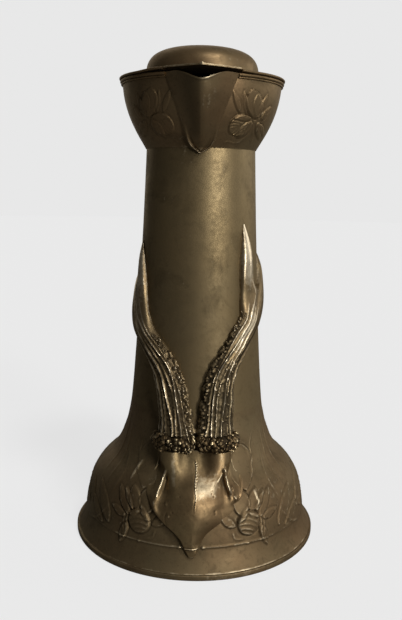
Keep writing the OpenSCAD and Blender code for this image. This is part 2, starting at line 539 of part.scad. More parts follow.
// Both ends run straight on to the domed faces of the bosses; k shrinks a ring towards its middle
handle_end_share = 0.1;
function handle_top_end(a, k) = let (p = handle_ring(0, a), x = k * p[0],
    z = handle_top_z + k * (p[2] - handle_top_z)) [x, boss_top_face(x, z) + seat_gap, z];
function handle_low_end(a, k) = let (p = handle_ring(1, a), x = k * p[0],
    z = handle_low_z + k * (p[2] - handle_low_z)) [x, boss_low_face(x, z) + seat_gap, z];
function between(a, b, k) = a * (1 - k) + b * k;
function handle_point(t, a) = t < handle_end_share
    ? between(handle_top_end(a, 1), handle_ring(handle_end_share, a), t / handle_end_share)
    : t > 1 - handle_end_share
    ? between(handle_low_end(a, 1), handle_ring(1 - handle_end_share, a), (1 - t) / handle_end_share)
    : handle_ring(t, a);
module handle() {
    m = handle_cols;
    angles = [for (j = [0:m - 1]) 360 * j / m];
    rings = concat([[for (a = angles) handle_top_end(a, 0.5)]],
        [for (i = [0:handle_rows]) [for (a = angles) handle_point(i / handle_rows, a)]],
        [[for (a = angles) handle_low_end(a, 0.5)]]);
    last = (len(rings) - 1) * m;
    side = [for (i = [0:len(rings) - 2], j = [0:m - 1]) let (a = i * m + j, b = i * m + (j + 1) % m)
        each [[a, a + m, b + m], [a, b + m, b]]];
    top_fan = [for (j = [0:m - 1]) [j, (j + 1) % m, last + m]];
    low_fan = [for (j = [0:m - 1]) [last + (j + 1) % m, last + j, last + m + 1]];
    color(pewter) polyhedron(concat(flat(rings), [handle_top_end(0, 0)], [handle_low_end(0, 0)]),
        concat(side, top_fan, low_fan), convexity = 4);
}

// Hinge bracket: the fixed knuckle on a lug that is soldered to the back of rim and bowl
module hinge_bracket() {
    half = knuckle_mid_w / 2;
    low_z = rim_top - lug_h;
    low_y = bowl_at(low_z) + seat_gap;
    face_y = rim_r + seat_gap;
    color(pewter) difference() {
        translate([-half, 0, 0]) rotate([90, 0, 90]) union() {
            translate([hinge_y, hinge_z]) cylinder(h = knuckle_mid_w, r = knuckle_r);
            linear_extrude(knuckle_mid_w) polygon([[hinge_y, hinge_z], [hinge_y, rim_top - lid_gap],
                [face_y, rim_top - lid_gap], [face_y, rim_z - seat_gap],
                [bowl_r + seat_gap, rim_z - seat_gap], [low_y, low_z], [low_y + knuckle_r, low_z],
                [hinge_y, rim_z - knuckle_r], [hinge_y + knuckle_r, rim_z],
                [hinge_y + knuckle_r, hinge_z]]);
        }
        translate([-half - cut_over, hinge_y, hinge_z]) rotate([0, 90, 0])
            cylinder(h = knuckle_mid_w + 2 * cut_over, r = pin_r + pin_gap);
    }
}

// Hinge pin with riveted heads
pin_half = knuckle_mid_w / 2 + knuckle_gap + knuckle_side_w + knuckle_gap / 2;
module hinge_pin() {
    head_t = pin_head_r / 2;
    color(pin_grey) translate([0, hinge_y, hinge_z]) rotate([0, 90, 0]) rotate_extrude() polygon([
        [0, -pin_half - head_t], [pin_head_r * 0.7, -pin_half - head_t], [pin_head_r, -pin_half - head_t / 2],
        [pin_head_r, -pin_half], [pin_r, -pin_half], [pin_r, pin_half], [pin_head_r, pin_half],
        [pin_head_r, pin_half + head_t / 2], [pin_head_r * 0.7, pin_half + head_t], [0, pin_half + head_t]]);
}

// Lid: dome, brim, beak over the spout, centring collar, strap and thumbpiece
dome_power = 3.2;
function dome_curve(r, h, n) = [for (i = [0:n]) let (a = 90 * i / n)
    [r * pow(max(0, cos(a)), 2 / dome_power), brim_top + h * pow(max(0, sin(a)), 2 / dome_power)]];
module lid_dome() {
    outer = dome_curve(dome_r, dome_h, 18);
    inner = dome_curve(dome_r - dome_wall, dome_h - dome_wall, 18);
    color(pewter) revolve(concat(outer, reversed(inner)));
}

beak_angle = spout_side_angle + arc_angle(seat_gap, brim_r);
module lid_brim() {
    inner = dome_r - dome_wall;
    edge = brim_t / 2;
    round_edge = [for (a = [-90:22.5:90]) [brim_r - edge + edge * cos(a), brim_z + edge + edge * sin(a)]];
    color(pewter) revolve(concat([[inner, brim_z]], round_edge, [[inner, brim_top]]),
        beak_angle - 90, 360 - 2 * beak_angle);
}

// Beak: the front of the brim, drawn out over the lip and arched up towards its keel
beak_cols = 20;
beak_rows = 6;
beak_half = beak_angle - 2 * arc_angle(seat_gap, brim_r);
function beak_fold(u) = pow(1 - abs(u), 1.5);
function beak_arch(s, u) = beak_rise * smooth(0.2, 1, s) * (0.8 * pow(1 - u * u, 1.5) + 0.2 * beak_fold(u));
function beak_point(s, u, top) = let (inner = dome_r - dome_wall, outer = brim_r + beak_out * beak_fold(u),
    r = inner + s * (outer - inner), z = (top ? brim_top : brim_z) + beak_arch(s, u))
    [r * sin(u * beak_half), -r * cos(u * beak_half), z];
module lid_beak() {
    rows = [for (i = [0:beak_rows]) i / beak_rows];
    cols = [for (j = [0:beak_cols]) 2 * j / beak_cols - 1];
    color(pewter_rubbed) closed_patch([for (s = reversed(rows)) [for (u = cols) beak_point(s, u, true)]],
        [for (s = reversed(rows)) [for (u = cols) beak_point(s, u, false)]]);
}

module lid_collar() {
    outer = bowl_r - wall - collar_gap;
    inner = outer - collar_t;
    low = brim_z - collar_h;
    color(pewter_dark) revolve([[inner, low], [outer, low], [outer, brim_z], [inner, brim_z]],
        beak_angle - 90, 360 - 2 * beak_angle);
}

strap_w = knuckle_mid_w + 2 * knuckle_gap + 2 * knuckle_side_w;
strap_front = dome_r + seat_gap;
strap_back = hinge_y - knuckle_r - knuckle_gap;
// One side of the strap's waisted outline; the other runs back the same way
strap_waist_share = [[0, 0.72], [0.12, 0.68], [0.35, 0.6], [0.6, 0.64], [0.8, 0.8], [0.92, 1], [1, 1]];
function strap_side(side) = let (n = len(strap_waist_share) - 1) [for (i = [0:n])
    let (k = strap_waist_share[side > 0 ? i : n - i])
    [side * k[1] * strap_w / 2, strap_front + k[0] * (strap_back - strap_front)]];
module lid_strap() {
    arm_x = knuckle_mid_w / 2 + knuckle_gap;
    color(pewter) difference() {
        union() {
            translate([0, 0, brim_top]) linear_extrude(strap_t)
                polygon(concat(strap_side(1), strap_side(-1)));
            for (side = [-1, 1]) translate([side > 0 ? arm_x : -arm_x - knuckle_side_w, 0, 0]) {
                translate([0, strap_back - cut_over, brim_top])
                    cube([knuckle_side_w, hinge_y - strap_back + cut_over, strap_t]);
                translate([0, hinge_y, hinge_z]) rotate([0, 90, 0])
                    cylinder(h = knuckle_side_w, r = knuckle_r);
            }
        }
        translate([-strap_w / 2 - cut_over, hinge_y, hinge_z]) rotate([0, 90, 0])
            cylinder(h = strap_w + 2 * cut_over, r = pin_r + pin_gap);
    }
}

// Thumbpiece: a leaf that leans back over the hinge, standing on the strap
thumb_rows = 12;
thumb_cols = 8;
thumb_width_share = [[0, 0.55], [0.25, 0.42], [0.5, 0.72], [0.75, 1], [0.9, 0.8], [1, 0.3]];
thumb_y = (strap_front + strap_back) / 2 + thumb_t / 2;
function thumb_point(v, u, front) = let (w = lookup(v, thumb_width_share) * thumb_w / 2, x = u * w,
    lean = 0.3 * thumb_h * (v * v - 0.5 * v), cup = 0.9 * thumb_t * u * u * v,
    half = thumb_t / 2 * (1 - 0.35 * u * u) * (1 - 0.45 * v))
    [x, thumb_y + lean + cup + (front ? -half : half), brim_top + strap_t + v * thumb_h];
function thumb_grid(front) = [for (i = [0:thumb_rows])
    [for (j = [0:thumb_cols]) thumb_point(i / thumb_rows, 2 * j / thumb_cols - 1, front)]];
module thumbpiece() { color(pewter_rubbed) closed_patch(thumb_grid(true), thumb_grid(false)); }

foot_ring();
base_plate();
bell();
neck();
bowl();
rim_bead();
spout();
skull();
burr_left();
burr_right();
antler_left();
antler_right();
handle();
handle_upper_boss();
handle_lower_boss();
hinge_bracket();
hinge_pin();
lid_dome();
lid_brim();
lid_beak();
lid_collar();
lid_strap();
thumbpiece();
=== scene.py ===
import math

import bpy
import numpy as np
from mathutils import Matrix, Vector

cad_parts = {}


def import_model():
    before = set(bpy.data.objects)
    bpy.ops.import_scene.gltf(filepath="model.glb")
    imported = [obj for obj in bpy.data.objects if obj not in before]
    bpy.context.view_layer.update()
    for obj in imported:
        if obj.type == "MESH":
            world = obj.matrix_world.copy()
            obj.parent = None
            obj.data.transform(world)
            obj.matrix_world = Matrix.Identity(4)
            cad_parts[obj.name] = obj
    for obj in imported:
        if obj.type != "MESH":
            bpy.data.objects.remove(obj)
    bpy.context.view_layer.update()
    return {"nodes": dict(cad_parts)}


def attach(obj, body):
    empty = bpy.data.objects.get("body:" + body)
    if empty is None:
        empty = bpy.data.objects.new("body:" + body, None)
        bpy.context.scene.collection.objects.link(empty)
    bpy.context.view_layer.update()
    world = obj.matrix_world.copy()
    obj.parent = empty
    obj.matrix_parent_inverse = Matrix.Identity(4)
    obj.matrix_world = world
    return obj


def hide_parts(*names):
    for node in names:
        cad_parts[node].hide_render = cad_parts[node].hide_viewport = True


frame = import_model()

MM = 0.001
PI = math.pi

# Sizes in millimetres, the same as in the part's source
FOOT_R, FOOT_H, FOOT_RING_W, FOOT_ROUND, FOOT_STEP = 90.0, 3.8, 11.0, 0.8, 1.5
LEDGE_R, LEDGE_Z, SHOULDER_R, SHOULDER_Z = 82.7, 18.5, 64.5, 59.0
WALL, SEAT = 2.2, 0.3
NECK_LOW_R, NECK_LOW_Z, NECK_TOP_R, NECK_TOP_Z = 48.5, 102.0, 38.7, 281.2
BOWL_R, BOWL_H, BOWL_STEP = 55.5, 42.5, 0.5
RIM_OUT, RIM_H = 1.8, 3.4
SPOUT_W, SPOUT_H, SPOUT_PROW, SPOUT_WALL, LIP_DIP, POUR_CUT_W = 49.0, 49.5, 13.0, 1.6, 5.4, 36.0
SKULL_TOP_Z = 77.7
BURR_H, BURR_W, BURR_OUT = 10.0, 28.0, 13.0
ANTLER_H, ANTLER_W, ANTLER_OUT = 142.7, 24.0, 9.5
HANDLE_REACH, HANDLE_W, HANDLE_T, HANDLE_LOW_Z = 103.0, 18.0, 10.0, 130.0
BOSS_TOP_W, BOSS_TOP_H, BOSS_LOW_W, BOSS_LOW_H, BOSS_OUT = 26.0, 30.0, 22.0, 34.0, 4.0
BRIM_OVER, BRIM_T, BRIM_W, DOME_H, DOME_WALL = 0.6, 1.4, 18.5, 21.0, 1.8
COLLAR_H, COLLAR_T, COLLAR_GAP = 5.0, 1.6, 1.2
BEAK_OUT, BEAK_RISE = 6.0, 1.9
HINGE_OUT, LUG_H, BOSS_UNDER_LUG = 10.7, 11.0, 2.4
KNUCKLE_R, KNUCKLE_GAP, STRAP_T = 4.2, 0.4, 3.2
THUMB_H, THUMB_W, THUMB_T = 22.0, 20.0, 3.4
EDGE = 0.8
DOME_POWER = 3.2

RIM_R = BOWL_R + RIM_OUT
BRIM_R = RIM_R + BRIM_OVER
DOME_R = BRIM_R - BRIM_W
HINGE_Y = RIM_R + HINGE_OUT
BOWL_Z = NECK_TOP_Z + SEAT
RIM_Z = BOWL_Z + BOWL_H
RIM_TOP = RIM_Z + RIM_H
BRIM_Z = RIM_TOP + SEAT
BRIM_TOP = BRIM_Z + BRIM_T
SPOUT_TOP = RIM_TOP - SEAT
SPOUT_LOW = SPOUT_TOP - SPOUT_H
HANDLE_TOP_Z = RIM_TOP - LUG_H - BOSS_UNDER_LUG - BOSS_TOP_H / 2
BURR_Z = SKULL_TOP_Z + SEAT
ANTLER_Z = BURR_Z + BURR_H + SEAT


# Numbers
def smooth(a, b, x):
    """0 below a, 1 above b, and a soft step between them."""
    t = np.clip((np.asarray(x, float) - a) / (b - a), 0, 1)
    return t * t * (3 - 2 * t)


def fall(a, b, x):
    """1 below a, 0 above b, and a soft step between them."""
    return 1 - smooth(a, b, x)


def bell_curve(x, width):
    return np.exp(-(np.asarray(x, float) / width) ** 2)


def bezier(n, *points):
    """A Bezier curve through its first and last point, in n steps."""
    t, k = np.linspace(0, 1, n + 1)[:, None], len(points) - 1
    shares = [math.comb(k, i) * t ** i * (1 - t) ** (k - i) for i in range(k + 1)]
    return sum(share * np.array(p, float) for share, p in zip(shares, points))


def arc_of(line):
    """The way along a line at each of its points."""
    return np.concatenate([[0], np.cumsum(np.linalg.norm(np.diff(line, axis=0), axis=1))])


def even(points, step):
    """The same line with points an even step apart."""
    points = np.asarray(points, float)
    arc = arc_of(points)
    at = np.linspace(0, arc[-1], max(2, int(round(arc[-1] / step))) + 1)
    return np.stack([np.interp(at, arc, column) for column in points.T], axis=1)


def direction(line):
    d = np.gradient(line, axis=0)
    return d / np.linalg.norm(d, axis=1)[:, None]


def spline(table, s):
    """Catmull-Rom line through the rows of a table, for an array s from 0 to 1."""
    table = np.asarray(table, float)
    n = len(table)
    x = np.clip(np.atleast_1d(s), 0, 1) * (n - 1)
    i = np.minimum(np.floor(x).astype(int), n - 2)
    t = (x - i)[:, None]
    p, q = table[np.maximum(i - 1, 0)], table[i]
    r, e = table[i + 1], table[np.minimum(i + 2, n - 1)]
    return 0.5 * (2 * q + (r - p) * t + (2 * p - 5 * q + 4 * r - e) * t * t
                  + (3 * q - p - 3 * r + e) * t ** 3)


def curve_at(table, x, steps=300):
    """The second column of a table at places x of its first one."""
    fine = spline(table, np.linspace(0, 1, steps))
    return np.interp(x, fine[:, 0], fine[:, 1])


NOISE_CELLS = 61


def noise(x, y, cell, seed):
    """Smooth noise from -1 to 1 with features of the size of a cell."""
    grid = np.random.default_rng(seed).random((NOISE_CELLS, NOISE_CELLS)) * 2 - 1
    u, v = np.asarray(x, float) / cell, np.asarray(y, float) / cell
    i, j = np.floor(u).astype(int), np.floor(v).astype(int)
    fu, fv = u - i, v - j
    fu, fv = fu * fu * (3 - 2 * fu), fv * fv * (3 - 2 * fv)

    def row(j):
        j = j % NOISE_CELLS
        return grid[i % NOISE_CELLS, j] * (1 - fu) + grid[(i + 1) % NOISE_CELLS, j] * fu

    return row(j) * (1 - fv) + row(j + 1) * fv


# Outlines of the body, as radius and height
rise, up = LEDGE_Z - FOOT_H, SHOULDER_Z - LEDGE_Z
shoulder_in, neck_in, neck_up = LEDGE_R - SHOULDER_R, SHOULDER_R - NECK_LOW_R, NECK_LOW_Z - SHOULDER_Z
BELL_LINE = np.concatenate([
    bezier(30, [FOOT_R - FOOT_STEP, FOOT_H], [LEDGE_R + 0.11 * rise, FOOT_H + 0.42 * rise],
           [LEDGE_R, LEDGE_Z]),
    bezier(80, [LEDGE_R, LEDGE_Z], [LEDGE_R - 0.08 * shoulder_in, LEDGE_Z + 0.385 * up],
           [LEDGE_R - 0.285 * shoulder_in, LEDGE_Z + 0.715 * up], [SHOULDER_R, SHOULDER_Z])[1:],
    bezier(80, [SHOULDER_R, SHOULDER_Z], [SHOULDER_R - 0.47 * neck_in, SHOULDER_Z + 0.155 * neck_up],
           [NECK_LOW_R + 0.125 * neck_in, SHOULDER_Z + 0.535 * neck_up], [NECK_LOW_R, NECK_LOW_Z])[1:]])
neck_h, taper = NECK_TOP_Z - NECK_LOW_Z, NECK_LOW_R - NECK_TOP_R
NECK_LINE = bezier(160, [NECK_LOW_R, NECK_LOW_Z + SEAT],
                   [NECK_LOW_R - 0.29 * taper, NECK_LOW_Z + 0.147 * neck_h],
                   [NECK_TOP_R + 0.22 * taper, NECK_LOW_Z + 0.667 * neck_h], [NECK_TOP_R, NECK_TOP_Z])
BOWL_LOW_R = NECK_TOP_R + BOWL_STEP
flare = BOWL_R - BOWL_LOW_R
BOWL_LINE = bezier(120, [BOWL_LOW_R, BOWL_Z], [BOWL_LOW_R + 0.2 * flare, BOWL_Z + 0.145 * BOWL_H],
                   [BOWL_R - 0.09 * flare, BOWL_Z + 0.5 * BOWL_H], [BOWL_R, RIM_Z])
BODY_LINE = np.concatenate([BELL_LINE, NECK_LINE])


def body_r(z):
    return np.interp(z, BODY_LINE[:, 1], BODY_LINE[:, 0])


def bowl_at(z):
    return np.interp(z, BOWL_LINE[:, 1], BOWL_LINE[:, 0])


def xyz(x, y, z):
    return np.stack(np.broadcast_arrays(x, y, z), axis=-1)


def place(angle, r, z):
    """Points from an angle in degrees from the front, a radius and a height."""
    a = np.radians(angle)
    return xyz(r * np.sin(a), -r * np.cos(a), z)


def on_body(angle, z, lift):
    return place(angle, body_r(z) + lift, z)


def spun(angle, line):
    """Points of an outline turned to some angles."""
    return place(angle, line[:, :1], line[:, 1:])


def turn_round(n):
    return np.linspace(-180, 180, n + 1)[:-1]


def add(name, data):
    obj = bpy.data.objects.new(name, data)
    bpy.context.scene.collection.objects.link(obj)
    return obj


# Meshes
def grid_ids(rows, cols, first=0):
    return first + np.arange(rows * cols).reshape(rows, cols)


def quads(ids, flip=False):
    """Faces between the rows and columns of a grid of point numbers."""
    q = np.stack([ids[:-1, :-1], ids[:-1, 1:], ids[1:, 1:], ids[1:, :-1]], axis=-1).reshape(-1, 4)
    return q[:, ::-1] if flip else q


def ring(ids):
    """The same grid with its first column repeated at the end."""
    return np.concatenate([ids, ids[:, :1]], axis=1)


def fan(row, centre, flip=False):
    """Triangles from a row of point numbers to a centre."""
    pair = (row[1:], row[:-1]) if flip else (row[:-1], row[1:])
    return np.stack([*pair, np.full(len(row) - 1, centre)], axis=1)


def shell(front, back, first=True, last=True, start=0):
    """Faces of a solid closed from a front grid and a back grid; its side walls begin at the row start."""
    walls = [(back[start:, 0], front[start:, 0]), (front[start:, -1], back[start:, -1])]
    walls += [(front[0], back[0])] * first + [(back[-1], front[-1])] * last
    return [quads(front), quads(back, True)] + [quads(np.stack(w, axis=1), True) for w in walls]


def curvature(points, faces, normals, rounds):
    """How much each point stands out of the ones round it, in 1/mm, smoothed some rounds."""
    pairs = np.concatenate([np.stack([f, np.roll(f, -1, axis=1)], axis=-1).reshape(-1, 2) for f in faces])
    a, b = np.unique(np.sort(pairs, axis=1), axis=0).T
    n = len(points)
    count = np.maximum(np.bincount(a, minlength=n) + np.bincount(b, minlength=n), 1)

    def around(values):
        return (np.bincount(a, values[b], n) + np.bincount(b, values[a], n)) / count

    mean = np.stack([around(points[:, k]) for k in range(3)], axis=1)
    length = np.linalg.norm(points[a] - points[b], axis=1)
    span = (np.bincount(a, length ** 2, n) + np.bincount(b, length ** 2, n)) / count
    out = 2 * np.einsum("ij,ij->i", points - mean, normals) / np.maximum(span, 0.01)
    for _ in range(rounds):
        out = 0.4 * out + 0.6 * around(out)
    return out


SHARP_ANGLE = math.radians(55)


def make(name, points, faces, material, body, node, slot, rub=0, rounds=2, gain=1.6):
    """A smooth closed mesh from points in millimetres and lists of faces.

    Its wear comes from the curvature, with the given wear and painted light added at the first points.
    """
    points = np.asarray(points, float).reshape(-1, 3)
    mesh = bpy.data.meshes.new(name)
    loops = np.concatenate([f.reshape(-1) for f in faces]).astype(np.int32)
    sizes = np.concatenate([np.full(len(f), f.shape[1]) for f in faces])
    starts = np.concatenate([[0], np.cumsum(sizes)[:-1]]).astype(np.int32)
    mesh.vertices.add(len(points))
    mesh.vertices.foreach_set("co", (points * MM).astype(np.float32).reshape(-1))
    mesh.loops.add(len(loops))
    mesh.loops.foreach_set("vertex_index", loops)
    mesh.polygons.add(len(sizes))
    mesh.polygons.foreach_set("loop_start", starts)
    mesh.update(calc_edges=True)
    mesh.polygons.foreach_set("use_smooth", np.ones(len(sizes), bool))
    mesh.validate()
    mesh.set_sharp_from_angle(angle=SHARP_ANGLE)
    normals = np.zeros(len(points) * 3, np.float32)
    mesh.vertices.foreach_get("normal", normals)
    worn_and_painted_light = np.tanh(gain * curvature(points, faces, normals.reshape(-1, 3).astype(float), rounds))
    rub = np.ravel(rub)
    worn_and_painted_light[:len(rub)] += rub
    mesh.attributes.new("rub", "FLOAT", "POINT").data.foreach_set("value", worn_and_painted_light.astype(np.float32))
    mesh.materials.append(material)
    obj = add(name, mesh)
    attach(obj, body)
    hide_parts(node)


def patch(name, front, back, *rest, rub=0, **more):
    """A solid between a front and a back grid of points, with the wear and painted light of its front."""
    rows, cols = front.shape[:2]
    ids = grid_ids(2 * rows, cols)
    make(name, np.concatenate([front, back]), shell(ids[:rows], ids[rows:]), *rest,
         rub=np.broadcast_to(rub, (rows, cols)), **more)


def hoop(name, points, *rest, **more):
    """A closed ring from a grid whose rows run round the axis and whose last row meets the first."""
    ids = ring(grid_ids(*points.shape[:2]))
    make(name, points, [quads(np.concatenate([ids, ids[:1]]))], *rest, **more)


def inward(line, t):
    """The line moved inwards by t, level at both ends."""
    d = direction(line)
    out = line + np.stack([-d[:, 1], d[:, 0]], axis=1) * t
    out[0, 1], out[-1, 1] = line[0, 1], line[-1, 1]
    out[:, 1] = np.clip(out[:, 1], line[0, 1], line[-1, 1])
    return out


def with_inside(front, angle, line, step):
    """The outer grid, followed by the inner wall from the top down."""
    return np.concatenate([front, spun(angle, inward(even(line, step), WALL)[::-1])])


# Drawing in relief: x and y in millimetres over an unrolled surface
class Relief:
    def __init__(self, x, y):
        self.x, self.y = np.broadcast_arrays(x, y)
        self.h = np.zeros(self.x.shape)

    def near(self, cx, cy, reach):
        return np.nonzero((np.abs(self.x - cx) < reach) & (np.abs(self.y - cy) < reach))

    def turned(self, at, cx, cy, turn):
        """Ways across and along a direction from a point, for the places at."""
        a = math.radians(turn)
        dx, dy = self.x[at] - cx, self.y[at] - cy
        return dx * math.cos(a) - dy * math.sin(a), dx * math.sin(a) + dy * math.cos(a)

    def lay(self, at, inside, form, keep, groove):
        """Lay a form over what is there, with a groove round it; inside is the way in from its edge."""
        m = smooth(0, 0.7, inside)
        self.h[at] = self.h[at] * (1 - m * (1 - keep)) + form * m - groove * bell_curve(inside + 0.35, 0.45)

    def petal(self, cx, cy, turn, length, width, height, belly=0.45, bend=0.0, veins=0, vein=0.16, rim=0.3,
              tip=0.9, keep=0.3, groove=0.3):
        """A leaf or petal from its foot at cx, cy, pointing at turn degrees from straight up."""
        at = self.near(cx, cy, length * 1.5)
        side, t = self.turned(at, cx, cy, turn)
        t = t / length
        side = np.abs(side - bend * length * t * np.abs(t))
        foot = belly / (1 - belly) * tip
        tt = np.clip(t, 1e-4, 1 - 1e-4)
        peak = belly ** foot * (1 - belly) ** tip
        half = width / 2 * tt ** foot * (1 - tt) ** tip / peak
        past_ends = np.maximum(-t, t - 1) * length
        inside = np.where((t > 0) & (t < 1), half - side, -np.maximum(past_ends, side))
        share = np.clip(side / np.maximum(half, 0.2), 0, 1)
        form = height * (0.45 + 0.55 * np.sqrt(np.maximum(0, 1 - share ** 2)))
        form = form + rim * height * smooth(0.62, 0.86, share) * fall(0.93, 1.0, share)
        form = form - 0.28 * height * bell_curve(side, 0.5) * (veins > 0) * (1 - t)
        if veins:
            form = form + vein * np.cos(2 * PI * veins * (t - 0.5 * share)) * smooth(0.06, 0.3, share) \
                * fall(0.8, 0.98, share)
        self.lay(at, inside, form, keep, groove)

    def bud(self, cx, cy, turn, rx, ry, height, ribs=0, rib=0.22, keep=0.2, groove=0.35):
        """A round bud, ribbed across like a folded flower."""
        at = self.near(cx, cy, max(rx, ry) * 1.6)
        u, v = self.turned(at, cx, cy, turn)
        u, v = u / rx, v / ry
        d = np.sqrt(u * u + v * v)
        form = height * (0.35 + 0.65 * np.sqrt(np.maximum(0, 1 - d ** 2)))
        if ribs:
            bow = v + 0.35 * u * u
            form = form + rib * np.cos(PI * ribs * bow + 2.2 * u) * smooth(0.02, 0.3, 1 - d)
        self.lay(at, (1 - d) * min(rx, ry), form, keep, groove)

    def line(self, knots, width, height, ends=0.2):
        """A raised or cut line through knots of x and y, tapered over a share of its length at both ends."""
        path = spline(knots, np.linspace(0, 1, 14 * len(knots)))
        low, high = path.min(0) - 4 * width, path.max(0) + 4 * width
        at = np.nonzero((self.x > low[0]) & (self.x < high[0]) & (self.y > low[1]) & (self.y < high[1]))
        if not len(at[0]):
            return
        x, y = self.x[at], self.y[at]
        best, where = np.full(x.shape, 1e9), np.zeros(x.shape)
        for k in range(len(path) - 1):
            a, d = path[k], path[k + 1] - path[k]
            s = np.clip(((x - a[0]) * d[0] + (y - a[1]) * d[1]) / max(d @ d, 1e-9), 0, 1)
            dist = (x - a[0] - s * d[0]) ** 2 + (y - a[1] - s * d[1]) ** 2
            closer = dist < best
            best = np.where(closer, dist, best)
            where = np.where(closer, (k + s) / (len(path) - 1), where)
        fade = np.minimum(1, np.minimum(where, 1 - where) / ends + 0.15) if ends else 1
        self.h[at] += height * np.exp(-best / width ** 2) * fade

    def lines(self, rows, at=lambda x, y: (x, y)):
        """Several lines; a row holds the knots and what else line() takes."""
        for points, *rest in rows:
            self.line([at(*p) for p in points], *rest)

    def leaves(self, rows, at, side):
        """Petals mirrored by side; a row holds foot, turn, length, width, height, bend and options."""
        for x, y, turn, length, width, height, bend, more in rows:
            self.petal(*at(x, y), side * turn, length, width, height, bend=side * bend, **more)

    def pearl(self, cx, cy, r, height):
        """A round lump; where lumps meet, a crease stays between them."""
        at = self.near(cx, cy, r)
        d = ((self.x[at] - cx) ** 2 + (self.y[at] - cy) ** 2) / r ** 2
        self.h[at] = np.maximum(self.h[at], height * np.sqrt(np.maximum(0, 1 - d)))

    def dot(self, cx, cy, r, height):
        at = self.near(cx, cy, 3 * r)
        d = ((self.x[at] - cx) ** 2 + (self.y[at] - cy) ** 2) / r ** 2
        self.h[at] += height * np.exp(-d)


# Materials
def srgb(r, g, b):
    def one(c):
        c /= 255
        return c / 12.92 if c <= 0.04045 else ((c + 0.055) / 1.055) ** 2.4
    return (one(r), one(g), one(b), 1)


class Nodes:
    """A node tree, with inputs given as numbers, tuples or other nodes' outputs."""
    MIX_FACTOR, MIX_A, MIX_B, MIX_OUT = 0, 6, 7, 2

    def __init__(self, owner):
        owner.use_nodes = True
        self.tree = owner.node_tree
        self.tree.nodes.clear()

    def new(self, kind, inputs=(), **settings):
        n = self.tree.nodes.new(kind)
        for key, value in settings.items():
            setattr(n, key, value)
        for key, value in dict(inputs).items():
            if isinstance(value, (int, float, tuple)):
                n.inputs[key].default_value = value
            else:
                self.tree.links.new(value, n.inputs[key])
        return n.outputs

    def math(self, op, *values, clamp=False):
        return self.new("ShaderNodeMath", enumerate(values), operation=op, use_clamp=clamp)[0]

    def noise(self, where, scale, detail, rough, distort=0.0):
        return self.new("ShaderNodeTexNoise", {"Vector": where, "Scale": scale, "Detail": detail,
                                               "Roughness": rough, "Distortion": distort})["Fac"]

    def spread(self, value, low, high, to_low=0.0, to_high=1.0, **settings):
        return self.new("ShaderNodeMapRange", {"Value": value, "From Min": low, "From Max": high,
                                               "To Min": to_low, "To Max": to_high}, **settings)["Result"]

    def mix(self, factor, a, b):
        return self.new("ShaderNodeMix", {self.MIX_FACTOR: factor, self.MIX_A: a, self.MIX_B: b},
                        data_type="RGBA")[self.MIX_OUT]


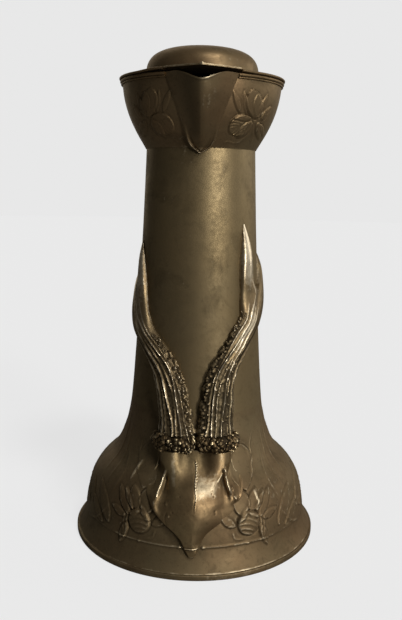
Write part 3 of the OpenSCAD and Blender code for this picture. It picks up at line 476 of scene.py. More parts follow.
def metal(name, tones, rough=0.48, rub_bias=0.0, rub_gain=1.0, brushed=0.0, pits=0.3, specks=0.35, low=0.0):
    """Patinated pewter: brown film, warm blotches, dark hollows and rubbed metal on what stands out; the mesh
    attribute also carries painted highlights and painted shade, and low paints shade towards the foot.
    """
    dark, mid, warm, bright = (srgb(*tone) for tone in tones)
    mat = bpy.data.materials.new(name)
    t = Nodes(mat)
    where = t.new("ShaderNodeTexCoord")["Object"]
    rub = t.math("MULTIPLY", t.new("ShaderNodeAttribute", attribute_name="rub")["Fac"], rub_gain)
    cloud, blotch = t.noise(where, 16, 3, 0.55), t.noise(where, 55, 4, 0.6, 0.6)
    speck, grain = t.noise(where, 420, 4, 0.62), t.noise(where, 1500, 3, 0.6)
    upright = t.new("ShaderNodeMapping", {"Vector": where, "Scale": (1.0, 1.0, 0.06)})["Vector"]
    streak = t.noise(upright, 260, 3, 0.6)

    film = t.mix(t.spread(cloud, 0.35, 0.66), mid, warm)
    film = t.mix(t.spread(blotch, 0.52, 0.74, 0, 0.45), film, dark)
    film = t.mix(t.spread(speck, 0.56, 0.72, 0, specks), film, dark)
    # painted shade: the film is darkened towards the foot by low, and it is duller there
    painted_foot_shade = t.spread(t.new("ShaderNodeSeparateXYZ", {0: where})["Z"], 0.185, 0.25, 1, 0)
    film = t.mix(t.math("MULTIPLY", painted_foot_shade, low), film, dark)
    # dark hollows from the curvature, and painted shade where the mesh attribute is painted dark
    hollow_and_painted_shade = t.math("MULTIPLY", t.math("MULTIPLY_ADD", rub, -1.0, -0.02), 1.35, clamp=True)
    film = t.mix(t.math("MULTIPLY", hollow_and_painted_shade, 0.85), film, dark)
    worn_and_painted_light = t.math("ADD", rub, rub_bias)
    for value, from_low, from_high, reach in ((blotch, 0.3, 0.7, 0.2), (speck, 0.3, 0.7, 0.22),
                                              (streak, 0.4, 0.7, brushed)):
        worn_and_painted_light = t.math("ADD", worn_and_painted_light, t.spread(value, from_low, from_high, -reach, reach))
    worn_and_painted_light = t.spread(worn_and_painted_light, 0.12, 0.85)

    roughness = t.math("ADD", t.spread(blotch, 0.3, 0.7, rough - 0.06, rough + 0.08),
                       t.spread(speck, 0.35, 0.65, -0.04, 0.04))
    roughness = t.math("ADD", roughness, t.math("MULTIPLY", hollow_and_painted_shade, 0.16))
    roughness = t.math("ADD", roughness, t.math("MULTIPLY", painted_foot_shade, 0.45 * low))
    roughness = t.math("SUBTRACT", roughness, t.math("MULTIPLY", worn_and_painted_light, 0.1))

    cells = t.new("ShaderNodeTexVoronoi", {"Vector": where, "Scale": 330})["Distance"]
    pit = t.math("MULTIPLY", t.spread(cells, 0.0, 0.22, -1, 0), t.spread(blotch, 0.5, 0.62))
    height = t.math("MULTIPLY_ADD", speck, 0.5, t.math("MULTIPLY", grain, 0.28))
    height = t.math("MULTIPLY_ADD", pit, pits, height)
    height = t.math("MULTIPLY_ADD", streak, brushed * 1.2, height)
    bump = t.new("ShaderNodeBump", {"Strength": 0.35, "Distance": 0.00022, "Height": height})["Normal"]

    shader = t.new("ShaderNodeBsdfPrincipled", {
        "Specular IOR Level": 0.3, "Specular Tint": (1.0, 0.9, 0.75, 1),
        "Base Color": t.mix(worn_and_painted_light, film, bright), "Metallic": t.spread(worn_and_painted_light, 0, 1, 0.8, 0.95),
        "Roughness": roughness, "Normal": bump})
    t.new("ShaderNodeOutputMaterial", {"Surface": shader["BSDF"]})
    return mat


# Each metal has a dark, a middle, a warm and a rubbed tone; low paints shade on the film towards the foot
DARK, MID, WARM, BRIGHT = (44, 36, 24), (122, 106, 77), (118, 96, 68), (200, 182, 149)
TAN = (126, 108, 76)
PEWTER = metal("pewter_patina", (DARK, MID, WARM, BRIGHT), rub_gain=0.75, rub_bias=-0.12, brushed=0.05,
               low=0.2)
NECK_MAT = metal("pewter_neck", (DARK, MID, TAN, BRIGHT), rub_gain=0.7, rub_bias=-0.12, brushed=0.15,
                 pits=0.05, specks=0.14, low=0.22)
RUBBED = metal("pewter_rubbed", ((38, 30, 19), TAN, (124, 100, 70), (212, 194, 160)), rough=0.44,
               rub_gain=0.85, rub_bias=-0.12, pits=0.4)
ANTLER_MAT = metal("pewter_antler", ((36, 29, 19), (122, 107, 79), (118, 98, 70), (218, 202, 173)),
                   rough=0.43, rub_gain=0.9, rub_bias=-0.12, pits=0.4)
BURR_MAT = metal("pewter_burr", ((22, 17, 11), (86, 72, 50), (92, 72, 46), (214, 194, 152)), rough=0.38,
                 rub_gain=0.9, rub_bias=-0.1, pits=0.2)
INSIDE = metal("pewter_inside", ((30, 24, 16), (66, 55, 38), (60, 48, 32), (120, 104, 76)), rough=0.55,
               rub_gain=0.5, rub_bias=-0.3)
PIN = metal("pin_steel", ((48, 44, 38), (112, 104, 90), (108, 96, 78), (190, 182, 166)), rough=0.34,
            rub_bias=0.1)


# Foot ring, bell and neck
def round_corner(cx, cz, r, a, b, n):
    t = np.radians(np.linspace(a, b, n))
    return np.stack([cx + r * np.cos(t), cz + r * np.sin(t)], axis=1)


def foot_ring():
    inner, c = FOOT_R - FOOT_RING_W, FOOT_R - FOOT_ROUND
    low = round_corner(c, FOOT_ROUND, FOOT_ROUND, -90, 0, 7)
    high = round_corner(c, FOOT_H - FOOT_ROUND, FOOT_ROUND, 0, 90, 7)
    outline = np.concatenate([np.stack([np.linspace(inner, c, 8)[:-1], np.zeros(7)], axis=1), low, high,
                              np.stack([np.linspace(c, inner, 8)[1:], np.full(7, FOOT_H)], axis=1)])
    a = turn_round(540)
    # wear along the edge, with a painted highlight at the front right
    worn_and_painted_light = 0.25 * noise(a * 1.57, 0, 9, 11) - 0.1 + 0.4 * bell_curve(a - 19, 13)
    hoop("foot_ring_rolled", spun(a, outline), PEWTER, "ewer", "foot_ring", "pewter",
         rub=worn_and_painted_light * smooth(c - 2, c + 0.5, outline[:, :1]))


def angles_dense(sector, fine, coarse, radius):
    """Angles all round, close together within the sector at the front."""
    n = int(2 * math.radians(sector) * radius / fine)
    m = int(math.radians(360 - 2 * sector) * radius / coarse)
    front = np.linspace(-sector, sector, n + 1)[:-1]
    return np.concatenate([front, np.linspace(sector, 360 - sector, m + 1)[:-1]])


def wrapped(angle):
    return (angle + 180) % 360 - 180


def way_up(line):
    """A function from a height to the way along the line."""
    arc = arc_of(line)
    return lambda height: np.interp(height, line[:, 1], arc)


def spray(relief, cx, cy, side):
    """A spray of a ribbed bud, a closed bud and leaves; side is 1 for a spray that leans right."""
    def at(dx, dy):
        return cx + side * dx, cy + dy

    relief.leaves([(-9.5, -1, -62, 15, 6.5, 0.9, 0.12, dict(veins=5)),
                   (8, 2, 38, 21, 7.5, 1.0, -0.12, dict(veins=6)),
                   (9, -3, 148, 17, 6.5, 1.0, 0.14, dict(veins=5)),
                   (11, 1, 82, 15, 6, 0.9, -0.1, dict(veins=5)),
                   (-3, 5, -18, 19, 13, 1.5, 0, dict(belly=0.5, tip=0.6, rim=0.22)),
                   (2, 6, 12, 17, 9, 1.5, 0, dict(belly=0.5, tip=0.7, rim=0.25)),
                   (5, 6, 30, 16, 5, 1.8, 0, dict(belly=0.5, rim=0.1))], at, side)
    relief.bud(*at(0, 0), side * 12, 8.6, 8.2, 2.3, ribs=5, rib=0.3)
    relief.leaves([(-8.5, 1.5, 48, 13, 4.6, 1.0, -0.2, dict(rim=0.2, keep=0.9)),
                   (8.6, 3.4, -78, 11, 4.0, 0.9, 0.2, dict(rim=0.2, keep=0.9))], at, side)
    relief.lines([([(9.5, 5), (10.6, -2), (10.2, -8), (11.4, -13)], 0.7, 0.8),
                  ([(11.5, 4), (13.2, -3), (12.4, -9), (13, -13)], 0.6, 0.6),
                  ([(-12, -4), (-10, -9), (-4, -10.5)], 0.5, 0.45)], at)


def flank(relief, side, way):
    """Long lines and leaves over the shoulder at the side of the bell."""
    def at(x, z):
        return side * x, way(z)

    for k, points in enumerate([[(62, 94), (68, 68), (82, 52)], [(57, 84), (62, 62), (76, 46)],
                                [(70, 97), (78, 74), (93, 60)], [(54, 72), (57, 56), (68, 42)],
                                [(80, 96), (89, 78), (104, 66)]]):
        relief.lines([(points, 0.95 - 0.06 * k, 0.55, 0.3)], at)
    for dx, dz in ((0, 0), (26, 5), (52, 14)):
        relief.leaves([(66 + dx, 24 + dz, 28, 30, 11, 0.9, 0.12, dict(veins=6)),
                       (73 + dx, 22 + dz, 62, 24, 8, 0.8, -0.12, dict(veins=5))], at, side)
    relief.lines([([(69, 34), (76, 27), (85, 21), (98, 18)], 0.7, 0.6)], at)
    spray(relief, *at(38.5, 33), side)
    # big smooth leaf beside the burr, with a sharp edge towards the skull
    relief.leaves([(37, 52, -12, 34, 22, 1.0 + 0.4 * side, 0,
                    dict(belly=0.55, tip=0.7, rim=0.2 + 0.15 * side, groove=0.2 + 0.2 * side))], at, side)
    relief.lines([([(46, 84), (42.5, 77), (43.5, 70), (42, 64), (44, 58)], 0.45, 0.5)], at)


def bell():
    line = even(BELL_LINE, 0.65)
    z, r, y, way = line[:, 1:], line[:, :1], arc_of(line)[:, None], way_up(line)
    angle = wrapped(angles_dense(72, 0.62, 1.8, 80))
    x = np.radians(angle) * r
    relief, painted_leaf_highlight = Relief(x, y), Relief(x, y)
    for side in (-1, 1):
        flank(relief, side, way)
    relief.h *= np.where(x < 0, 0.72, 0.88)
    # a narrow raised leaf on both sides, with a painted highlight along it
    for leaf in ([(46.6, 43), (44.6, 47.6), (42, 52.3)], [(-48.8, 54.6), (-43.2, 61.8), (-38.7, 66.8)]):
        leaf = [(px, way(pz)) for px, pz in leaf]
        relief.line(leaf, 1.0, 0.9, 0.4)
        painted_leaf_highlight.line(leaf, 1.0, 0.8, 0.3)
    # raised line over the foot band, with small drops on it
    ledge = way(20.2)
    free = smooth(5.2, 6.5, np.abs(x)) * (1 - 0.65 * smooth(52, 66, np.abs(x)))
    relief.h += 0.5 * bell_curve(y - ledge, 0.5) * free
    relief.h += 0.16 * smooth(ledge - 0.4, ledge + 0.4, y) * fall(ledge + 4, ledge + 14, y)
    for dx in (-9.4, 6.2, -38, 49, -50, 38):
        relief.dot(dx, ledge, 0.9, 0.7)
    relief.h += 0.1 * noise(x, y, 17, 5) + 0.05 * noise(x, y, 5, 6)
    fade = smooth(0.3, 2.5, y) * fall(y[-1] - 3, y[-1] - 0.4, y)
    front = place(angle, r + relief.h * fade, z)
    line_rub = 0.45 * bell_curve(y - ledge - 0.1, 0.55) * free * (0.7 + 0.6 * noise(x, 0, 5, 12))
    # wear along the lower edge, with a painted highlight at the front right
    edge_wear_and_highlight = 0.4 * noise(x, 0, 7, 13) - 0.15 + 0.6 * bell_curve(angle - 19, 13)
    rub = 0.12 * noise(x, y, 30, 7) + line_rub + edge_wear_and_highlight * fall(0.2, 1.4, y) + painted_leaf_highlight.h
    hoop("bell_cast", with_inside(front, angle, BELL_LINE, 6.0), PEWTER, "ewer", "bell", "pewter", rub=rub,
         gain=2.2)


NECK_SKIRT = 2.3


def neck():
    # a short skirt carries the outline on below the seat, down to the bell
    slope = (NECK_LINE[1, 0] - NECK_LINE[0, 0]) / (NECK_LINE[1, 1] - NECK_LINE[0, 1])
    skirt = [NECK_LOW_R - NECK_SKIRT * slope, NECK_LINE[0, 1] - NECK_SKIRT]
    line = even(np.concatenate([[skirt], NECK_LINE, [[NECK_TOP_R, BOWL_Z + 0.6]]]), 1.5)
    a = turn_round(360)
    z, r = line[:, 1:], line[:, :1]
    x = np.radians(a) * r
    lift = 0.07 * noise(x, z, 21, 21) + 0.03 * noise(x, z, 6, 22)
    fade = smooth(0, 5, z - z[0]) * fall(-5, 0, z - z[-1])
    front = place(a, r + lift * fade, z)
    hoop("neck_tube", with_inside(front, a, NECK_LINE, 12.0), NECK_MAT, "ewer", "neck", "pewter", gain=0)


# Bowl, with a notch behind the spout and a spray on both sides of it
def bowl():
    line = even(BOWL_LINE, 0.55)
    z, r, y, way = line[:, 1:], line[:, :1], arc_of(line)[:, None], way_up(line)
    share = np.append(np.sort(angles_dense(75, 0.5, 1.2, 52) % 360), 360) / 360
    cut_low = BOWL_Z + 0.16 * BOWL_H
    half = POUR_CUT_W / 2 * np.clip((z - cut_low) / (RIM_Z - cut_low), 0, 1) ** 0.7
    notch = np.degrees(np.arcsin(half / r))
    angle = notch + share * (360 - 2 * notch)
    x = np.radians(wrapped(angle)) * r
    relief = Relief(x, y)
    for side in (-1, 1):
        bowl_spray(relief, side, way)
    relief.h *= np.where(x < 0, 0.42, 0.72)
    relief.h += 0.05 * noise(x, y, 13, 31) + 0.03 * noise(x, y, 4, 32)
    fade = smooth(0.0, 1.2, y) * fall(y[-1] - 2.5, y[-1] - 0.3, y)
    lift = relief.h * fade * smooth(0, 1.5, np.abs(x) - half + 1.5)
    points = np.concatenate([place(angle, r + lift, z), place(angle, inward(line, WALL)[:, :1], z)])
    # below the notch the last column is the first one
    n, start = len(z), int(np.argmax(half > 0)) - 1
    ids = grid_ids(2 * n, len(share))
    front, back = ids[:n], ids[n:]
    for part in (front, back):
        part[:start + 1, -1] = part[:start + 1, 0]
    faces = shell(front, back, start=start)
    used = np.unique(np.concatenate([f.reshape(-1) for f in faces]))
    renumber = np.zeros(ids.size, int)
    renumber[used] = np.arange(len(used))
    make("bowl_cast", points.reshape(-1, 3)[used], [renumber[f] for f in faces], PEWTER, "ewer", "bowl",
         "pewter", gain=0.9)


def bowl_spray(relief, side, way):
    def at(x, z):
        return side * x, way(z)

    relief.leaves([(26, 303, -16, 16, 4.4, 0.7, -0.1, dict(rim=0.4)),
                   (31, 303, -9, 15, 4.0, 0.7, 0, dict(rim=0.4)),
                   (44, 302, 16, 17, 4.6, 0.7, 0.1, dict(rim=0.4)),
                   (46, 300, 40, 15, 5, 0.7, 0.1, dict(veins=4)),
                   (39, 300.5, -14, 19, 13.5, 1.3, 0, dict(belly=0.55, tip=0.62, rim=0.3)),
                   (39.5, 300.5, 4, 17, 8.6, 1.3, 0, dict(belly=0.55, tip=0.7, rim=0.3)),
                   (40.5, 300.5, 22, 14.5, 4.4, 1.4, 0, dict(belly=0.5, rim=0.2)),
                   (43, 299, 160, 14, 8, 1.1, -0.12, dict(veins=4)),
                   (46, 298, 132, 13, 5, 0.9, 0, dict(veins=4)),
                   (36, 300, -118, 20, 15, 1.3, 0, dict(belly=0.5, tip=0.62, veins=6, vein=0.22, rim=0.3)),
                   (36.5, 298.5, -136, 17, 8, 1.2, 0, dict(veins=5, vein=0.2, rim=0.25, keep=0.6)),
                   (36, 301, -96, 15, 4, 0.9, 0, dict(rim=0.3, keep=0.6))], at, side)
    relief.lines([([(39.8, 301.2), (44, 303.5), (47.5, 305.2)], 0.6, 0.8),
                  ([(30, 287), (24, 284.8), (18, 285.6), (15, 284)], 0.45, 0.4),
                  ([(40, 300), (39, 294), (40, 288), (38.5, 284)], 0.55, 0.5)], at)


# Rim bead, interrupted at the spout
SPOUT_SIDE = math.degrees(math.asin(SPOUT_W / 2 / (BOWL_R + SPOUT_WALL))) + math.degrees(2 * SEAT / BOWL_R)


def rim_bead():
    big, small, inner = 0.32 * RIM_H, 0.18 * RIM_H, BOWL_R - WALL
    low = round_corner(RIM_R - 2 * small, RIM_Z + small, small, -90, 90, 12)
    high = round_corner(RIM_R - big, RIM_TOP - big, big, -60, 90, 18)
    outer = np.concatenate([[[inner + 0.6, RIM_Z]], low, high, [[inner + 0.6, RIM_TOP]]])
    a = np.linspace(SPOUT_SIDE - 1.3, 361.3 - SPOUT_SIDE, 421)
    patch("rim_rolled", spun(a, outer), place(a, inner, outer[:, 1:]), RUBBED, "ewer", "rim_bead",
          "pewter_rubbed", rub=-0.25)


# Spout: a keeled shield with a rolled lower edge and a dipped lip, its half width given over its height
SPOUT_SHARE = [[0, .03], [.04, .16], [.09, .28], [.15, .36], [.22, .41], [.32, .465], [.43, .53], [.6, .66],
               [.725, .765], [.86, .855], [.94, .925], [1, 1]]
KEEL = 0.19


def spout():
    rows, cols = 110, 141
    s = np.linspace(0, 1, rows)[:, None] ** 1.15
    u = np.linspace(-1, 1, cols)
    u = np.sign(u) * np.abs(u) ** 0.9
    dip = LIP_DIP * fall(0, 0.72, np.abs(u))
    z = SPOUT_LOW + s * (SPOUT_H - dip)
    share = (z - SPOUT_LOW) / SPOUT_H
    w = curve_at(SPOUT_SHARE, share, 200) * SPOUT_W / 2
    seat = bowl_at(np.maximum(z, BOWL_Z)) + SEAT

    def surface(edge, keel):
        r = seat + edge
        t = ((np.hypot(u, KEEL) - KEEL) / (math.hypot(1, KEEL) - KEEL)) ** 1.2
        edge_y = -np.sqrt(np.maximum(r * r - w * w, 1))
        return np.stack([w * u, edge_y * t - (seat + keel) * (1 - t)], axis=-1)

    keel = SPOUT_PROW * (0.15 + 0.85 * share ** 0.8)
    outer = surface(SPOUT_WALL * (1 - 0.68 * smooth(0.3, 0.6, share)), keel)
    inner = surface(0.0, np.maximum(0.05 * SPOUT_PROW, keel - 1.25 * SPOUT_WALL))
    # a rolled bead on the edge, strongest at the lower tip, and flanks hollowed a little beside it
    edge_mm = (1 - np.abs(u)) * np.maximum(w, 1.2)
    strong = 0.05 + 1.15 * fall(0.05, 0.42, share)
    bead = strong * (bell_curve(edge_mm - 0.8, 0.8) - 0.6 * bell_curve(edge_mm - 2.6, 1.0))
    lip_side = fall(0.25, 0.6, np.abs(u))
    lip = 0.3 * bell_curve((1 - s) * (SPOUT_H - dip) - 0.5, 0.6) * lip_side
    push = bead + lip + 0.04 * noise(u * 20, z, 5, 41)
    outer = outer * (1 + push[..., None] / np.linalg.norm(outer, axis=-1, keepdims=True))
    # wear on the lip and the rolled edge; a painted highlight on the right flank beside the keel and painted
    # shade on the left flank
    rub = 0.35 * bell_curve((1 - s) * SPOUT_H, 1.0) * lip_side \
        + 0.5 * bell_curve(edge_mm - 0.8, 0.9) * fall(0.02, 0.3, share) \
        + smooth(0.05, 0.3, share) * (0.2 * smooth(-0.02, 0.1, u) * fall(0.15, 0.8, u)
                                      - 0.6 * smooth(-0.03, 0.1, -u) * fall(0.35, 0.95, -u))
    patch("spout_shield", *(xyz(side[..., 0], side[..., 1], z) for side in (outer, inner)), PEWTER, "ewer",
          "spout", "pewter", rub=rub, gain=1.3)


# Skull: half widths at heights, and heights over the bell on a net from the middle outwards
SKULL_OUTLINE = [[13.4, 0.7], [14.3, 2.0], [16, 3.2], [19.5, 4.9], [23, 6.4], [27, 8.5], [31, 12.4],
                 [35, 18.4], [38.5, 23.2], [43, 27.8], [47.5, 31.4], [51.5, 33.8], [57, 34.5], [64, 32.6],
                 [71, 30], [SKULL_TOP_Z, 29]]
NET_Z = [10.6, 16, 22, 28, 34, 40, 45, 50, 55, 60, 65, 70, 74, 78]
NET_X = [0, 3, 6, 9, 12, 15, 18, 21, 24, 27, 30, 34.5]
NET = np.array([
    [1.6, 1.3, 1.0, 1.0, 1.0, 1.0, 1.0, 1.0, 1.0, 1.0, 1.0, 1.0],
    [2.9, 2.5, 1.8, 1.2, 1.0, 1.0, 1.0, 1.0, 1.0, 1.0, 1.0, 1.0],
    [3.9, 3.6, 3.0, 2.3, 1.7, 1.4, 1.2, 1.1, 1.0, 1.0, 1.0, 1.0],
    [4.9, 4.6, 4.1, 3.5, 2.9, 2.4, 2.0, 1.7, 1.5, 1.3, 1.2, 1.2],
    [6.0, 5.6, 5.1, 4.5, 3.9, 3.3, 2.8, 2.4, 2.1, 1.8, 1.6, 1.4],
    [7.3, 6.8, 6.2, 5.5, 4.8, 4.1, 3.5, 3.1, 2.8, 2.4, 2.0, 1.6],
    [8.4, 7.8, 7.1, 6.4, 5.6, 4.7, 3.9, 3.6, 3.7, 3.2, 2.4, 1.7],
    [9.2, 8.5, 7.8, 7.0, 6.2, 5.0, 3.5, 3.3, 4.2, 3.8, 2.6, 1.8],
    [9.2, 8.6, 7.9, 7.2, 6.5, 5.0, 2.7, 2.3, 3.0, 2.4, 1.8, 1.6],
    [8.0, 7.7, 7.3, 7.0, 6.8, 5.8, 3.4, 2.5, 1.5, 0.9, 0.9, 1.2],
    [5.6, 5.6, 6.1, 7.1, 7.7, 7.3, 5.6, 3.2, 1.0, 0.5, 0.5, 0.6],
    [3.8, 3.9, 5.2, 7.7, 8.9, 9.0, 8.1, 5.6, 1.3, 0.4, 0.3, 0.3],
    [3.2, 3.2, 4.8, 8.0, 9.4, 9.6, 8.8, 6.4, 1.6, 0.4, 0.3, 0.3],
    [3.0, 3.0, 4.7, 8.1, 9.6, 9.8, 9.0, 6.6, 1.8, 0.4, 0.3, 0.3]])
SUNK = 0.6


def net_height(x, z):
    columns = np.stack([curve_at(np.stack([NET_Z, column], axis=1), z[:, 0]) for column in NET.T], axis=1)
    # the crest is sharp on the forehead alone
    blunt = 0.7 + 9.3 * fall(35, 54, z) + 2.0 * smooth(63, 69, z)
    side = (np.hypot(x, blunt) - blunt) * NET_X[-1] / (np.hypot(NET_X[-1], blunt) - blunt)
    return np.stack([curve_at(np.stack([NET_X, row], axis=1), side[i]) for i, row in enumerate(columns)])


def skull_relief(x, z):
    """Height of the skull over the bell; x is the arc from the front, z the height."""
    out = Relief(x, z)
    # the outer rim of the left socket sinks into the bell
    out.h = net_height(x, z) * (1 - 0.9 * smooth(25.5, 30, -x) * smooth(50, 56, z))
    # eye sockets: a slit beside the forehead, a sharp ridge outside it, the bow of the cheek below
    out.lines([([(17.4, 68.5), (18.6, 65.8), (20.5, 60.3), (22.7, 54.5), (23.5, 51.6)], 1.2, 3.2, 0.25),
               ([(18.4, 61.5), (19.4, 58.4), (20.8, 55.2), (21.8, 52)], 0.7, -1.5, 0.3),
               ([(22.9, 53.6), (24.0, 55.5), (25.3, 55.7), (25.7, 54.4)], 0.5, 1.0, 0.0),
               ([(25.4, 52.2), (27.2, 50.6), (28.4, 48.4)], 1.1, 1.3, 0.3),
               ([(17.2, 65.2), (16.0, 62.7), (14.2, 59.9)], 0.8, 0.7, 0.35),
               ([(-17.6, 66.5), (-21, 59.6), (-22.8, 54.9), (-24.6, 50.4)], 1.0, 2.5, 0.25),
               ([(-17.8, 62), (-19.6, 57), (-21.2, 52.6)], 1.3, -1.1, 0.3),
               ([(-24.2, 50.6), (-26.2, 47), (-25.2, 43), (-22, 39.5)], 1.6, 1.1, 0.35),
               ([(31, 62), (32.6, 57), (32.2, 51.5), (29, 46.5)], 1.3, 0.8, 0.35)])
    for side in (-1, 1):
        out.dot(side * 28, 57, 3.6, -0.9)
        out.lines([([(24.8, 72.1), (27.1, 65.4), (29.6, 62.6)], 0.6, 0.9, 0.2),
                   ([(17, 43.5), (18.4, 40), (18.3, 36.8), (16.9, 34.2)], 0.6, -0.2, 0.2)],
                  lambda px, pz: (side * px, pz))
    # suture along the crest of the forehead, with fine teeth
    teeth = 0.34 * np.abs((z * 0.62) % 1 * 2 - 1) + 0.35 * np.sin(z * 0.5) + 0.2
    run = smooth(44, 49, z) * fall(70, 73, z)
    out.h = out.h + run * (0.2 * bell_curve(x - teeth - 0.3, 0.4) - 0.16 * bell_curve(x - teeth + 0.25, 0.35))
    for k in range(11):
        out.line([(0.3, 57.6 + 1.25 * k), (1.3 + 0.5 * math.sin(5.0 * k), 58 + 1.25 * k)], 0.28, 0.32, 0)
    # small pits and swellings, then a fine stipple
    for pit in ((10.6, 54.6, 0.5, -0.3), (12.0, 53.1, 0.55, -0.35), (11.3, 56.2, 0.4, -0.18),
                (13.2, 43.9, 0.75, -0.4), (13.5, 42.4, 0.75, -0.4), (-13.4, 43.6, 0.8, -0.35),
                (-8.8, 53, 0.5, -0.2), (-17.9, 47.6, 0.9, 0.6), (-16.1, 40.9, 0.8, 0.5)):
        out.dot(*pit)
    rng = np.random.default_rng(77)
    for _ in range(40):
        out.dot(rng.uniform(-12, 14), rng.uniform(42, 64), rng.uniform(0.35, 0.6), -rng.uniform(0.02, 0.08))
    # the raised line of the bell runs on over the nose
    out.line([(-9.3, 21.2), (-4.5, 20.7), (-0.8, 20.5), (2.6, 20.7), (7, 21.4)], 0.45, 0.5, 0)
    return out.h + 0.14 * noise(x, z, 6, 71) + 0.05 * noise(x, z, 2.2, 72)


def skull():
    rows, cols = 236, 201
    z = np.linspace(SKULL_OUTLINE[0][0], SKULL_TOP_Z, rows)[:, None]
    t = np.linspace(-1, 1, cols)
    half = curve_at(SKULL_OUTLINE, z)
    x = t * half - 1.4 * fall(30, 48, z)
    h = skull_relief(x, z)
    edge = (1 - np.abs(t)) * half
    near = np.clip(edge / np.minimum(1.8, 0.8 * half), 0, 1)
    nose = np.clip((z - z[0]) / 2.0, 0, 1)
    wall = np.sqrt((1 - (1 - near) ** 2) * (1 - (1 - nose) ** 2))
    # on the right the cheek runs out softly into the bell
    soft = (t > 0) * smooth(17, 24, z) * fall(44, 52, z)
    ramp = 1 - (np.hypot(t, 0.25) - 0.25) / (math.hypot(1, 0.25) - 0.25)
    wall = wall * (1 - soft) + np.maximum(ramp, 0) ** 0.9 * soft
    angle = np.degrees(x / body_r(z))
    # worn brow with a painted highlight right of the crest, painted highlight streaks on both sides of it,
    # rubbed sockets' ridges; painted shade left of the crest, along the lower left edge and on the lower
    # right below the brow
    crest = 0.3 * np.sin(z * 0.9)
    brow_wear_and_highlight = smooth(-0.5, 0.7, x - crest) * bell_curve(np.maximum(x - 7, 0), 9.5) \
        * np.where(z < 57, bell_curve(z - 57, 6.5), bell_curve(z - 57, 10.5 - 4.5 * smooth(2, 8, x)))
    painted_streak_highlights = 0.75 * bell_curve(x + 13, 1.6) * smooth(55.5, 61, z) * (1 - 0.4 * smooth(67, 73, z)) \
        + 0.35 * bell_curve(x - 16, 2.4) * smooth(60, 67, z)
    ridge_x = np.interp(z, [51, 54.5, 60.3, 66], [24, 22.9, 20.7, 18.6])
    ridges = 0.6 * bell_curve(np.abs(x) - ridge_x, 1.2) * smooth(50, 52, z) * fall(64, 68, z)
    painted_shadow = 0.25 * fall(-3, 0.2, x - crest) * bell_curve(x, 7) * smooth(44, 54, z) \
        + 0.5 * fall(0, 1.6, edge) * (t < 0) * fall(48, 54, z)
    painted_lower_right_shade = 0.22 * smooth(-1, 2, x) * fall(44, 52, z) * smooth(26, 36, z)
    rub = 0.75 * brow_wear_and_highlight + painted_streak_highlights + ridges - painted_shadow - painted_lower_right_shade - 0.1
    patch("skull_cast", on_body(angle, z, 0.1 + (h - 0.1) * wall), on_body(angle, z, -SUNK), RUBBED, "ewer",
          "skull", "pewter_rubbed", rub=rub, gain=1.3)


# Burrs
BURR_ARC_R = 15.5


def burr(side_name, centre, seed):
    rows, cols = 46, 181
    v = np.linspace(0, 1, rows)[:, None]
    a = np.linspace(0, PI, cols)
    swell = 0.8 + 0.2 * np.sin(PI * v) ** 0.7
    around, along = a * BURR_ARC_R, v * BURR_H
    lumps, specks = Relief(around, along), Relief(around, along)
    rng = np.random.default_rng(seed)
    for k in range(170):
        r = rng.uniform(0.55, 1.9)
        cx, cy = rng.uniform(0, BURR_ARC_R * PI), rng.uniform(-0.3, BURR_H + 0.3)
        lumps.pearl(cx, cy, r, r * rng.uniform(0.6, 1.3))
        if k % 5 == 0:
            specks.pearl(cx, cy, 0.7 * r, 1)
    h = lumps.h - 0.9 + 0.7 * noise(around, along, 4.2, seed + 9)
    z = BURR_Z + v * BURR_H + 0.7 * noise(around, 0, 3.1, seed + 5) * (2 * v - 1)
    # the outer end stands a little higher than the inner one
    outward = -np.sign(centre) * np.cos(a)
    z = z + 1.2 * (v * np.maximum(outward, 0) - (1 - v) * np.maximum(-outward, 0))
    ends = smooth(0, 0.25, np.sin(a))
    x = -np.cos(a) * (BURR_W / 2 * swell + h * 0.8 * ends + 1.1)
    lift = EDGE + (BURR_OUT - EDGE - 1.0) * swell * np.sin(a) ** 0.8 + h * np.sin(a) ** 0.6
    angle = centre + np.degrees(x / body_r(z))
    patch("burr_pearled_" + side_name, on_body(angle, z, np.maximum(lift, 0.3)), on_body(angle, z, -SUNK),
          BURR_MAT, "ewer", "burr_" + side_name, "pewter_dark", rub=0.3 * h - 0.45 + 0.75 * specks.h,
          gain=0.9, rounds=1)


# Antlers: a shaft of D-shaped sections that forks into two tines; rows of height, angle, width and depth
LEFT_BEAM = [[0, -14.6, 1, 1], [.061, -16, .88, .9], [.148, -18.5, .86, .86], [.235, -22, .83, .84],
             [.317, -28, .77, .8], [.388, -38, .68, .76], [.45, -50, .66, .72], [.506, -61, .9, .66],
             [.562, -70, 1.14, .6]]
LEFT_FRONT = [[.619, -62.5, .5, .56], [.69, -64, .44, .52], [.762, -66.5, .34, .44], [.835, -70, .23, .32],
              [.907, -74.5, .07, .09]]
LEFT_REAR = [[.619, -90, .46, .5], [.69, -99, .36, .42], [.757, -107, .22, .28], [.808, -114, .05, .06]]
RIGHT_BEAM = [[0, 15.6, 1, 1], [.061, 16.5, .92, .9], [.148, 17.5, .9, .88], [.225, 19, .84, .85],
              [.296, 22.5, .76, .8], [.368, 29.5, .7, .76], [.445, 39, .72, .74], [.521, 51, .82, .7],
              [.598, 60, 1.25, .64], [.665, 67.5, 1.6, .57]]
RIGHT_FRONT = [[.713, 50.3, .55, .55], [.782, 49.7, .5, .52], [.859, 49.8, .42, .46], [.936, 49.3, .26, .28],
               [1, 48.5, .05, .06]]
RIGHT_REAR = [[.713, 89, .53, .5], [.772, 97, .42, .42], [.828, 104, .25, .28], [.874, 109, .05, .06]]
BEAM_ROWS, TINE_ROWS, ANTLER_COLS = 290, 70, 92
RIDGES = (0.27, 0.36, 0.45, 0.54, 0.63, 0.72, 0.81, 0.9)
INNER_SHARE = 0.21


